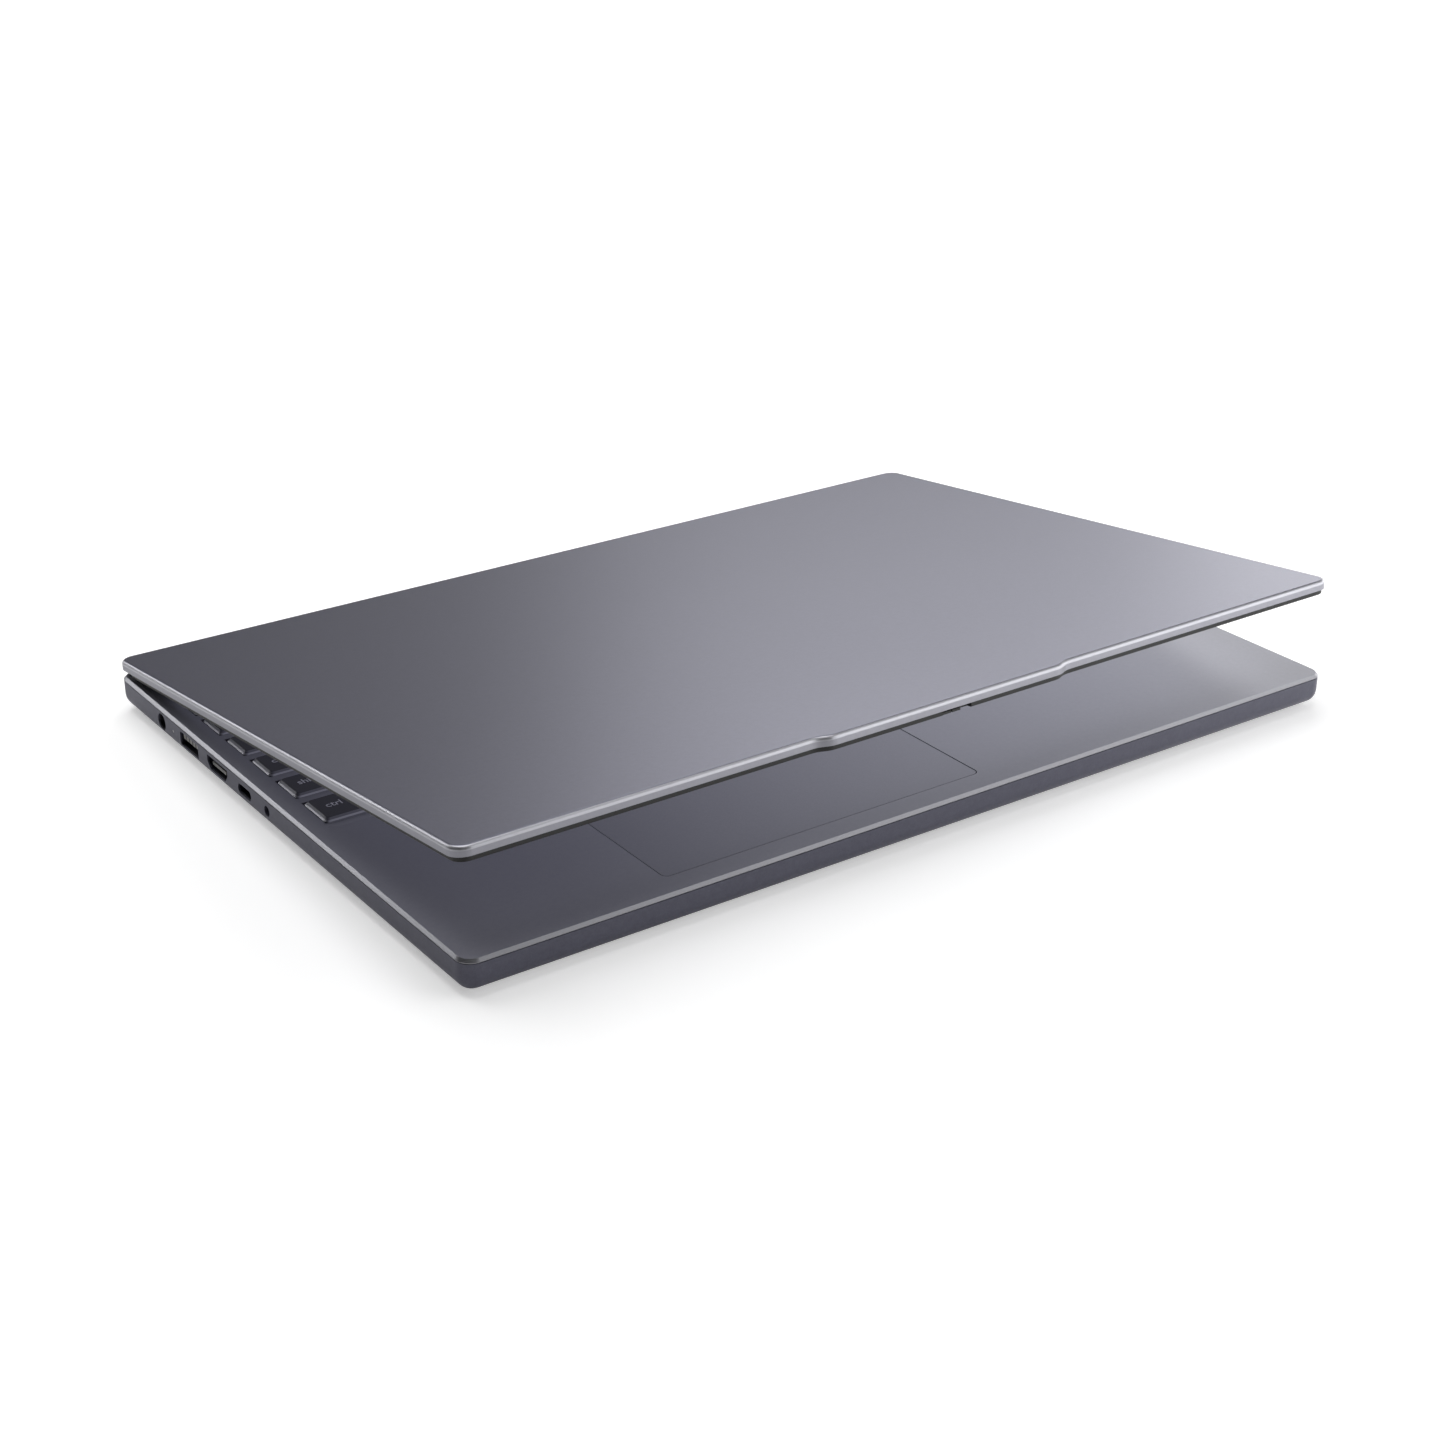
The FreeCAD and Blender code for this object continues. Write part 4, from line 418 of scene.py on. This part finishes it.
def block_shape(low, high):
    """Points and faces of a block between two corners, on a grid of two by four points."""
    ring = np.array([[0, 0], [1, 0], [1, 1], [0, 1]])
    ends = np.repeat([0, 1], 4)[:, None]
    share = np.concatenate([ends, np.tile(ring, (2, 1))], 1)
    corner = np.arange(4)
    after = np.roll(corner, -1)
    sides = np.stack([corner, corner + 4, after + 4, after], 1)
    faces = np.concatenate([sides, [corner], [corner[::-1] + 4]])
    return low + share * (np.array(high) - low), faces


NOSE_DEPTH = 0.0007
NOSE_LENGTH = 0.0019
for piece in ("usb_a_port_left", "hdmi_port"):
    low, high = tongue_boxes[piece]
    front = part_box("bottom_cover")[0].x + NOSE_DEPTH
    points, faces = block_shape((front, low[1], low[2]), (front + NOSE_LENGTH, high[1], high[2]))
    shell = nodes[piece].data.materials[0]
    add_piece(piece + "_tongue_tip", points, faces, shell, "base")
moulded(
    "socket_plastic", (0.010, 0.010, 0.014, 1), (0.020, 0.020, 0.026, 1), 0.45,
    "card_reader", "audio_jack", "power_jack",
)


# Lamp beside the power inlet: a rod of clear plastic, pressed into the wall, that leads
# light out from the board behind it.
lamp_finish, place = new_finish("light_pipe")
bubbles = place.speckle(0.0003)
dress(
    lamp_finish,
    {
        "Base Color": bubbles.blend((0.62, 0.63, 0.66, 1), (0.80, 0.80, 0.80, 1)),
        "Roughness": 0.18 + bubbles * 0.10,
        "Coat Weight": 0.5,
        "Normal": bubbles.relief(0.00001, 0.4),
    },
    "status_light",
)


# Keyboard plate, touchpad tray, hinges and screws: rolled steel sheet and turned steel,
# pressed or cut to shape and plated with bright zinc.
def bright_steel(name, *pieces):
    """Zinc-bright steel with rolling marks along X and a faint spangle."""
    finish, place = new_finish(name)
    rolled = place.stretched(0.04).speckle(0.0004, 3.0)
    spangle = place.node("TexVoronoi", {}, {"Vector": place, "Scale": 700.0}, "Color").axis(0)
    sockets = {
        "Base Color": spangle.blend((0.36, 0.36, 0.38, 1), (0.52, 0.52, 0.54, 1)),
        "Metallic": 1.0,
        "Roughness": 0.26 + rolled * 0.14 + spangle * 0.05,
        "Normal": rolled.relief(0.000012, 0.5),
    }
    dress(finish, sockets, *pieces)


bright_steel(
    "bright_steel",
    "keyboard_plate", "touchpad_bracket", "case_screws", "inner_screws", "hinge_bracket_left",
    "hinge_bracket_right", "hinge_arm_left", "hinge_arm_right", "hinge_pins", "hinge_lid_screws",
)


# Keyboard frame: a thin pressed sheet with a window for each key, dyed like the deck and
# laid in the sunken well on a ledge.
satin_alloy(
    "satin_frame_alloy", (0.185, 0.185, 0.212, 1), (0.250, 0.250, 0.282, 1), 0.35, 0.46,
    "keyboard_frame",
)


# Key caps: moulded plastic with a dark soft-touch top, each clipped to its scissor hinge
# above the plate. The skirts are painted grey and their foot paler as a painted highlight.
cap_finish, place = new_finish("key_cap_lacquer")
cap_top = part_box("space_bar")[1].z
cap_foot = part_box("space_bar")[0].z
height = (place.axis(2) - cap_foot) / (cap_top - cap_foot)
top = ((height - 0.90) * 14.0).clipped()
# Painted highlight: the skirt's foot, just above the frame, is made paler and more metallic to draw a
# bright rim round each key.
foot = ((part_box("keyboard_frame")[1].z + 0.00030 - place.axis(2)) * 9000.0).clipped()
skin = place.speckle(0.0003, 3.0)
cloud = place.speckle(0.020)
# Painted highlight: the skirts' grey, lighter than the top, stands in for light caught on their slopes.
painted_skirt_highlight = foot.blend((0.20, 0.20, 0.23, 1), (0.50, 0.50, 0.54, 1))
soft = (skin * 0.5 + cloud * 0.5).blend((0.017, 0.017, 0.025, 1), (0.027, 0.027, 0.038, 1))
KEY_NODES = (
    "tab_key", "caps_lock_key", "left_shift_key", "left_ctrl_key", "space_bar", "enter_key",
    "function_keys", "number_keys", "letter_keys", "modifier_keys", "numpad_keys",
)
dress(
    cap_finish,
    {
        "Base Color": top.blend(painted_skirt_highlight, soft),
        "Metallic": (0.30 + foot * 0.40) * (1.0 - top),
        "Roughness": 0.42 + top * 0.06 + skin * 0.08,
        "Normal": skin.relief(0.00002, 0.4),
    },
    *KEY_NODES,
)


# Key legends: plain letters, digits and words, printed on the cap tops in pale grey ink
# and sealed under a clear coat, so they wear at their edges first.
KEY_GAP = 0.0043
KEY_DEPTH = 0.01435
LAST_ROW_EXTRA = 0.0014
LETTER_PITCH = 0.0186
NUMPAD_PITCH = 0.01605
TAB_CELL, CAPS_CELL, SHIFT_CELL = 0.0243, 0.0295, 0.0390
SLASH_CELL, ENTER_CELL, RIGHT_SHIFT_CELL = 0.0192, 0.0326, 0.0417
SIGN_SIZE, WORD_SIZE, WORD_INDENT = 0.0046, 0.0041, 0.0043
ROWS_BACK = [0.0699 - row * (KEY_DEPTH + KEY_GAP) for row in range(5)]
FUNCTION_FOOT, UPPER_SIGN_DROP, LOWER_SIGN_DROP = 0.0780, 0.0055, 0.0115
keys_left, keys_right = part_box("left_ctrl_key")[0].x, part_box("function_keys")[1].x
main_right = keys_right + KEY_GAP - 4 * NUMPAD_PITCH


def outline_of(words, size):
    """Points and faces of a word set flat in the plain built-in letter, its foot at 0."""
    curve = bpy.data.curves.new("legend_outline", "FONT")
    curve.body = words
    curve.size = size
    curve.resolution_u = 3
    curve.offset = 0.012 * size
    holder = bpy.data.objects.new("legend_outline", curve)
    bpy.context.scene.collection.objects.link(holder)
    bpy.context.view_layer.update()
    evaluated = holder.evaluated_get(bpy.context.evaluated_depsgraph_get())
    mesh = bpy.data.meshes.new_from_object(evaluated)
    points = np.empty(len(mesh.vertices) * 3)
    mesh.vertices.foreach_get("co", points)
    mesh.calc_loop_triangles()
    corners = np.empty(len(mesh.loop_triangles) * 3, dtype=np.int32)
    mesh.loop_triangles.foreach_get("vertices", corners)
    bpy.data.objects.remove(holder)
    bpy.data.curves.remove(curve)
    bpy.data.meshes.remove(mesh)
    return points.reshape(-1, 3), corners.reshape(-1, 3)


ARROW_RADIUS = 0.0011


def arrow_outline(turn):
    """Points and faces of an arrow head: three corners on a circle, turned by some angle."""
    angle = math.radians(turn) + np.array([0.0, 2.3, -2.3])
    points = ARROW_RADIUS * np.stack([np.cos(angle), np.sin(angle), 0 * angle], 1)
    return points, np.array([[0, 1, 2]])


ink_finish, place = new_finish("legend_ink")
ink = place.speckle(0.0004, 3.0)
dress(
    ink_finish,
    {
        "Base Color": ink.blend((0.50, 0.50, 0.54, 1), (0.64, 0.64, 0.68, 1)),
        "Roughness": 0.45 + ink * 0.10,
    },
)
legend_sheets = {}


def print_legend(key, outline, middle_x, middle_y):
    """Adds an outline to its key's sheet, moved to a middle just above the cap's top."""
    points, faces = outline
    low, high = points.min(0), points.max(0)
    shift = np.array([middle_x - (low[0] + high[0]) / 2, middle_y, cap_top + 0.00002])
    legend_sheets.setdefault(key, []).append((points + shift, faces))


def print_row(row, left, cells):
    """Prints a row of caps: each cell has its key's node, its width and its words.

    Single signs stand in the middle of their cap; words start at the left, indented, but
    no farther to the right than a word in the middle would.
    """
    depth = KEY_DEPTH + (LAST_ROW_EXTRA if row == 4 else 0.0)
    middle_y = ROWS_BACK[row] - depth / 2
    x = left
    for key, width, words in cells:
        middle_x = x + (width - KEY_GAP) / 2
        if len(words) == 1:
            print_legend(key, outline_of(words, SIGN_SIZE), middle_x, middle_y - 0.34 * SIGN_SIZE)
        else:
            outline = outline_of(words, WORD_SIZE)
            half = np.ptp(outline[0][:, 0]) / 2
            print_legend(key, outline, min(x + WORD_INDENT + half, middle_x), middle_y - 0.0006)
        x += width


function_cell = (keys_right + KEY_GAP - keys_left) / 20
function_words = ["esc"] + ["F%d" % number for number in range(1, 13)]
function_words += ["prtsc", "insert", "delete", "home", "end", "pgup", "pgdn"]
for index, words in enumerate(function_words):
    middle = keys_left + index * function_cell + (function_cell - KEY_GAP) / 2
    print_legend("function_keys", outline_of(words, 0.0027), middle, FUNCTION_FOOT)

backspace_cell = main_right - keys_left - 13 * LETTER_PITCH
for index, words in enumerate("~!@#$%^&*()_+"):
    middle = keys_left + index * LETTER_PITCH + (LETTER_PITCH - KEY_GAP) / 2
    print_legend("number_keys", outline_of(words, 0.0036), middle, ROWS_BACK[0] - UPPER_SIGN_DROP)
for index, words in enumerate("`1234567890-="):
    middle = keys_left + index * LETTER_PITCH + (LETTER_PITCH - KEY_GAP) / 2
    print_legend("number_keys", outline_of(words, 0.0040), middle, ROWS_BACK[0] - LOWER_SIGN_DROP)
print_row(0, keys_left + 13 * LETTER_PITCH, [("number_keys", backspace_cell, "backspace")])
letters_left = keys_left + TAB_CELL
print_row(1, keys_left, [("tab_key", TAB_CELL, "tab")])
print_row(1, letters_left, [("letter_keys", LETTER_PITCH, words) for words in "QWERTYUIOP[]"])
print_row(1, letters_left + 12 * LETTER_PITCH, [("letter_keys", SLASH_CELL, "\\")])
letters_left = keys_left + CAPS_CELL
print_row(2, keys_left, [("caps_lock_key", CAPS_CELL, "caps lock")])
print_row(2, letters_left, [("letter_keys", LETTER_PITCH, words) for words in "ASDFGHJKL;'"])
print_row(2, letters_left + 11 * LETTER_PITCH, [("enter_key", ENTER_CELL, "enter")])
letters_left = keys_left + SHIFT_CELL
print_row(3, keys_left, [("left_shift_key", SHIFT_CELL, "shift")])
print_row(3, letters_left, [("letter_keys", LETTER_PITCH, words) for words in "ZXCVBNM,./"])
print_row(3, letters_left + 10 * LETTER_PITCH, [("modifier_keys", RIGHT_SHIFT_CELL, "shift")])
alt_left = keys_left + TAB_CELL + 2 * LETTER_PITCH
arrows_left = main_right - 3 * LETTER_PITCH
print_row(4, keys_left, [("left_ctrl_key", TAB_CELL, "ctrl"), ("modifier_keys", LETTER_PITCH, "fn")])
for left, words in ((alt_left, ("alt",)), (arrows_left - 2 * LETTER_PITCH, ("alt", "ctrl"))):
    print_row(4, left, [("modifier_keys", LETTER_PITCH, word) for word in words])
bottom_middle = ROWS_BACK[4] - (KEY_DEPTH + LAST_ROW_EXTRA) / 2
for turn, cell, up in ((180, 0, 0.0), (90, 1, 0.0043), (270, 1, -0.0043), (0, 2, 0.0)):
    middle = arrows_left + cell * LETTER_PITCH + (LETTER_PITCH - KEY_GAP) / 2
    print_legend("modifier_keys", arrow_outline(turn), middle, bottom_middle + up)
for row, words in enumerate((("num", "/", "*", "-"), "789", "456", "123")):
    print_row(row, main_right, [("numpad_keys", NUMPAD_PITCH, word) for word in words])
print_row(4, main_right, [("numpad_keys", 2 * NUMPAD_PITCH, "0"), ("numpad_keys", NUMPAD_PITCH, ".")])
last_middle = main_right + 3 * NUMPAD_PITCH + (NUMPAD_PITCH - KEY_GAP) / 2
for words, size, row in (("+", SIGN_SIZE, 1), ("enter", 0.0032, 3)):
    tall_middle = (ROWS_BACK[row] + ROWS_BACK[row + 1] - KEY_DEPTH) / 2
    print_legend("numpad_keys", outline_of(words, size), last_middle, tall_middle)

for key, sheets in legend_sheets.items():
    counts = np.cumsum([0] + [len(points) for points, corners in sheets])
    points = np.concatenate([points for points, corners in sheets])
    faces = np.concatenate([start + corners for start, (_, corners) in zip(counts, sheets)])
    add_piece(key + "_legends", points, faces, ink_finish, key)


# Touchpad: a coated glass plate, dyed to match the deck, bonded to its switch board and
# hinged along its rear edge in a tray under the deck.
pad_finish, place = new_finish("satin_pad_glass")
etch = place.speckle(0.00025, 3.0)
cloud = place.speckle(0.050)
dress(
    pad_finish,
    {
        "Base Color": etch.blend((0.177, 0.177, 0.206, 1), (0.225, 0.225, 0.259, 1)),
        "Metallic": 0.35,
        "Roughness": 0.38 + etch * 0.04 + cloud * 0.03,
        "Normal": etch.relief(0.00001, 0.3),
    },
    "touchpad",
)


# Power button: an oval cap of dyed alloy with fine rings from turning, held under the deck
# by its flange on a click switch.
button_finish, place = new_finish("turned_button_alloy")
button_middle = (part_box("power_button")[0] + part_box("power_button")[1]) / 2
centred = place.node("Mapping", {"vector_type": "TEXTURE"}, {"Vector": place, "Location": button_middle})
rings = centred.node(
    "TexWave", {"wave_type": "RINGS", "rings_direction": "Z"},
    {"Vector": centred, "Scale": 1400.0, "Distortion": 0.4},
)
dress(
    button_finish,
    {
        "Base Color": rings.blend((0.120, 0.120, 0.142, 1), (0.185, 0.185, 0.210, 1)),
        "Metallic": 0.85,
        "Roughness": 0.36 + rings * 0.08,
        "Normal": rings.relief(0.000006, 0.5),
    },
    "power_button",
)


# Lid: a shallow alloy tray with a round upper edge and a forward tab for the camera,
# blasted and dyed like the base.
hinge = next(joint for joint in frame["joints"] if joint["name"] == "lid_hinge")
hinge_y, hinge_z = hinge["pos_m"][1], hinge["pos_m"][2]
lid_angle = math.radians(hinge["range_deg"][0])
LID_TOP = 0.0179
LID_ROUND = 0.0013


def lid_edge(place):
    """1 on the lid's round upper edge and half on its side, by the depth under its top.

    The depth, in radii of the edge, is taken with the lid turned back to shut.
    """
    about_hinge = place.node(
        "VectorMath", {"operation": "SUBTRACT"}, {0: place, 1: (0, hinge_y, hinge_z)}
    )
    shut = place.node("Mapping", {}, {"Vector": about_hinge, "Rotation": (-lid_angle, 0, 0)})
    depth = (LID_TOP - hinge_z - shut.axis(2)) / LID_ROUND
    edge_and_side = ((depth - 0.06) * 9.0).clipped()
    side = ((depth - 1.0) * 9.0).clipped()
    return edge_and_side - side * 0.5


satin_alloy(
    "satin_lid_alloy", (0.106, 0.106, 0.138, 1), (0.157, 0.157, 0.199, 1), 0.75, 0.39,
    "lid_cover", lid_edge, 0.50, -0.02,
)


# Screen bezel, hinge strip and camera shutter: matt black mouldings, glued and clipped
# into the lid; the shutter's tab slides in a notch of the bezel's front edge.
moulded(
    "bezel_plastic", (0.009, 0.009, 0.009, 1), (0.016, 0.016, 0.0155, 1), 0.55,
    "screen_bezel", "hinge_cap", "camera_shutter",
)
rubber("bumper_rubber", "screen_bumpers")


# Screen: a panel behind anti-glare glass with a fine grid of cells, showing a plain pale
# blend of greys, which lights the keys and the palm rest below it.
panel_finish, place = new_finish("anti_glare_screen")
cells = place.bands("X", 1600.0)
glare = place.speckle(0.00012, 2.0)
drift = place.speckle(0.140, 1.0)
picture = (place.axis(0) * 4.0 + place.axis(1) * 0.8 + drift * 0.7 + 0.12).clipped()
dress(
    panel_finish,
    {
        "Base Color": cells.blend((0.0060, 0.0062, 0.0070, 1), (0.0095, 0.0096, 0.0105, 1)),
        "Roughness": 0.20 + glare * 0.08,
        "Normal": glare.relief(0.000004, 0.3),
        "Emission Color": picture.blend((0.14, 0.14, 0.17, 1), (0.60, 0.605, 0.64, 1)),
        "Emission Strength": 1.8,
    },
    "display_panel",
)


# Camera lens: a small domed disc of coated glass, ground to shape and glued over the barrel
# of the camera, behind the hole in the bezel.
LENS_RADIUS = 0.0012
LENS_RISE = 0.00010
LENS_Y, LENS_Z = -0.1166, 0.01394


def opened(points):
    """Points of the shut lid turned about the hinge line to the part-open rest pose."""
    y = points[..., 1] - hinge_y
    z = points[..., 2] - hinge_z
    turned_y = y * math.cos(lid_angle) - z * math.sin(lid_angle)
    turned_z = y * math.sin(lid_angle) + z * math.cos(lid_angle)
    return np.stack([points[..., 0], turned_y + hinge_y, turned_z + hinge_z], -1)


def lens_dome(rows, columns):
    """Points and faces of the dome: height falls with the square of the radius, on a polar grid."""
    share = np.linspace(0.01, 1.0, rows)[:, None]
    angle = np.linspace(0, -2 * np.pi, columns, endpoint=False)[None, :]
    x = LENS_RADIUS * share * np.cos(angle)
    y = LENS_RADIUS * share * np.sin(angle) + LENS_Y
    z = LENS_Z - LENS_RISE * (1 - share**2) + 0 * angle
    corner = np.arange(rows * columns).reshape(rows, columns)
    after = np.roll(corner, -1, 1)
    faces = np.stack([corner[:-1], after[:-1], after[1:], corner[1:]], -1)
    return np.stack([x, y, z], -1).reshape(-1, 3), faces.reshape(-1, 4)


lens_finish, place = new_finish("coated_lens")
coating = place.speckle(0.0008)
dress(
    lens_finish,
    {
        "Base Color": coating.blend((0.006, 0.006, 0.016, 1), (0.020, 0.010, 0.030, 1)),
        "Roughness": 0.05 + coating * 0.04,
        "Coat Weight": 0.8,
    },
)
points, faces = lens_dome(7, 28)
dome = add_piece("camera_lens_glass", opened(points), faces, lens_finish, "lid")
dome.shade_smooth()


# Floor: a wide sheet of pale paper on which the feet stand, white to the eye and grey in
# the object's shadow. In reflections it glows as a painted reflection, brighter at the right.
FLOOR_REACH, FLOOR_Z = 40.0, -0.0001
floor_mesh = bpy.data.meshes.new("studio_floor")
ring = FLOOR_REACH * np.array([[-1, -1], [1, -1], [1, 1], [-1, 1]])
floor_mesh.from_pydata(np.insert(ring, 2, FLOOR_Z, 1).tolist(), [], [(0, 1, 2, 3)])
floor = bpy.data.objects.new("studio_floor", floor_mesh)
bpy.context.scene.collection.objects.link(floor)
floor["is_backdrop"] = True
floor_finish, place = new_finish("studio_floor_paint")
paper = place.speckle(0.004)
direct = place.node("LightPath", {}, {}, "Is Camera Ray")
through = place.node("LightPath", {}, {}, "Is Transmission Ray")
eye = (direct + through).clipped()
in_reflections = place.node("LightPath", {}, {}, "Is Glossy Ray")
away = (place.axis(0) * place.axis(0) + place.axis(1) * place.axis(1)) ** 0.5
white = 0.43 + (away * 1.6 - 0.55).clipped() * 0.6
# Painted reflection: the floor glows only in reflections, more at the right than at the left.
painted_reflection_right = (place.axis(0) * 2.0 + 0.2).clipped()
dress(
    floor_finish,
    {
        "Base Color": paper.blend((0.80, 0.80, 0.80, 1), (0.82, 0.82, 0.82, 1)),
        "Roughness": 0.9,
        "Specular IOR Level": 0.0,
        "Emission Color": eye * white + in_reflections * (0.15 + painted_reflection_right * 0.75),
        "Emission Strength": 1.0,
    },
)
floor_mesh.materials.append(floor_finish)


# Studio light: a white room that shines more from the right, a wide soft sheet overhead and
# soft panels of cloth on frames at the right, the rear and the near right.
world = bpy.data.worlds.new("pale_room")
bpy.context.scene.world = world
world.use_nodes = True
room = Signal(world.node_tree)
towards = room.node("TexCoord", {}, {}, "Generated")
rightward = room.node(
    "VectorMath", {"operation": "DOT_PRODUCT"}, {0: towards, 1: (0.90, -0.30, 0.30)}, "Value"
)
room_level = (rightward * 0.5 + 0.5) ** 3.0 * 0.20
direct = room.node("LightPath", {}, {}, "Is Camera Ray")
through = room.node("LightPath", {}, {}, "Is Transmission Ray")
level = room_level + (direct + through).clipped() * (1.0 - room_level)
background = world.node_tree.nodes["Background"]
world.node_tree.links.new(level.socket, background.inputs["Strength"])
background.inputs["Color"].default_value = (1, 1, 1, 1)


OBJECT_MIDDLE = Vector((0.0, 0.0, 0.03))


def soft_panel(name, spot, size, watts):
    """A soft lamp of some width and height at a spot, facing the middle of the object."""
    lamp = bpy.data.lights.new(name, "AREA")
    lamp.shape = "RECTANGLE"
    lamp.size, lamp.size_y = size
    lamp.energy = watts
    holder = bpy.data.objects.new(name, lamp)
    holder.location = spot
    holder.rotation_mode = "QUATERNION"
    holder.rotation_quaternion = (Vector(spot) - OBJECT_MIDDLE).to_track_quat("Z", "Y")
    bpy.context.scene.collection.objects.link(holder)


soft_panel("overhead_panel", (-0.1, 0.32, 1.2), (1.0, 1.4), 11.6)
soft_panel("right_panel", (1.48, 0.26, 0.25), (1.73, 0.45), 6.7)
soft_panel("right_rear_panel", (1.06, 1.06, 0.55), (0.92, 0.35), 2.1)
soft_panel("right_rear_high_panel", (1.06, 1.06, 0.90), (0.92, 0.45), 5.0)
soft_panel("rear_panel", (0.55, 1.35, 0.60), (0.5, 0.4), 0.2)
soft_panel("front_panel", (0.65, -0.70, 0.31), (0.9, 0.6), 3.4)
soft_panel("front_high_panel", (0.58, -0.68, 0.85), (0.8, 0.4), 1.1)
soft_panel("left_rear_strip", (-0.55, 1.16, 0.475), (0.85, 0.23), 2.6)


# Camera: stands where the photograph was taken, above the near left corner, with the same
# angle of view and the same slight roll.
SENSOR_WIDTH, FOCAL_PIXELS, IMAGE_PIXELS = 36, 2428.906, 1445
camera_data = bpy.data.cameras.new("photograph_camera")
camera_data.lens = FOCAL_PIXELS / IMAGE_PIXELS * SENSOR_WIDTH
camera_data.sensor_width = SENSOR_WIDTH
camera_data.clip_start, camera_data.clip_end = 0.01, 100
camera = bpy.data.objects.new("photograph_camera", camera_data)
bpy.context.scene.collection.objects.link(camera)
azimuth, elevation, roll = np.radians([-35.417, 25.127, 0.202])
back = np.array(
    [np.sin(azimuth) * np.cos(elevation), -np.cos(azimuth) * np.cos(elevation), np.sin(elevation)]
)
right = np.cross([0, 0, 1], back)
right /= np.linalg.norm(right)
up = np.cross(back, right)
matrix = np.eye(4)
matrix[:3, 0] = np.cos(roll) * right + np.sin(roll) * up
matrix[:3, 1] = -np.sin(roll) * right + np.cos(roll) * up
matrix[:3, 2] = back
matrix[:3, 3] = (-0.446561, -0.627732, 0.354689)
camera.matrix_world = Matrix(matrix.tolist())
bpy.context.scene.camera = camera
bpy.context.scene.view_settings.view_transform = "Standard"

low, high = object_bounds()
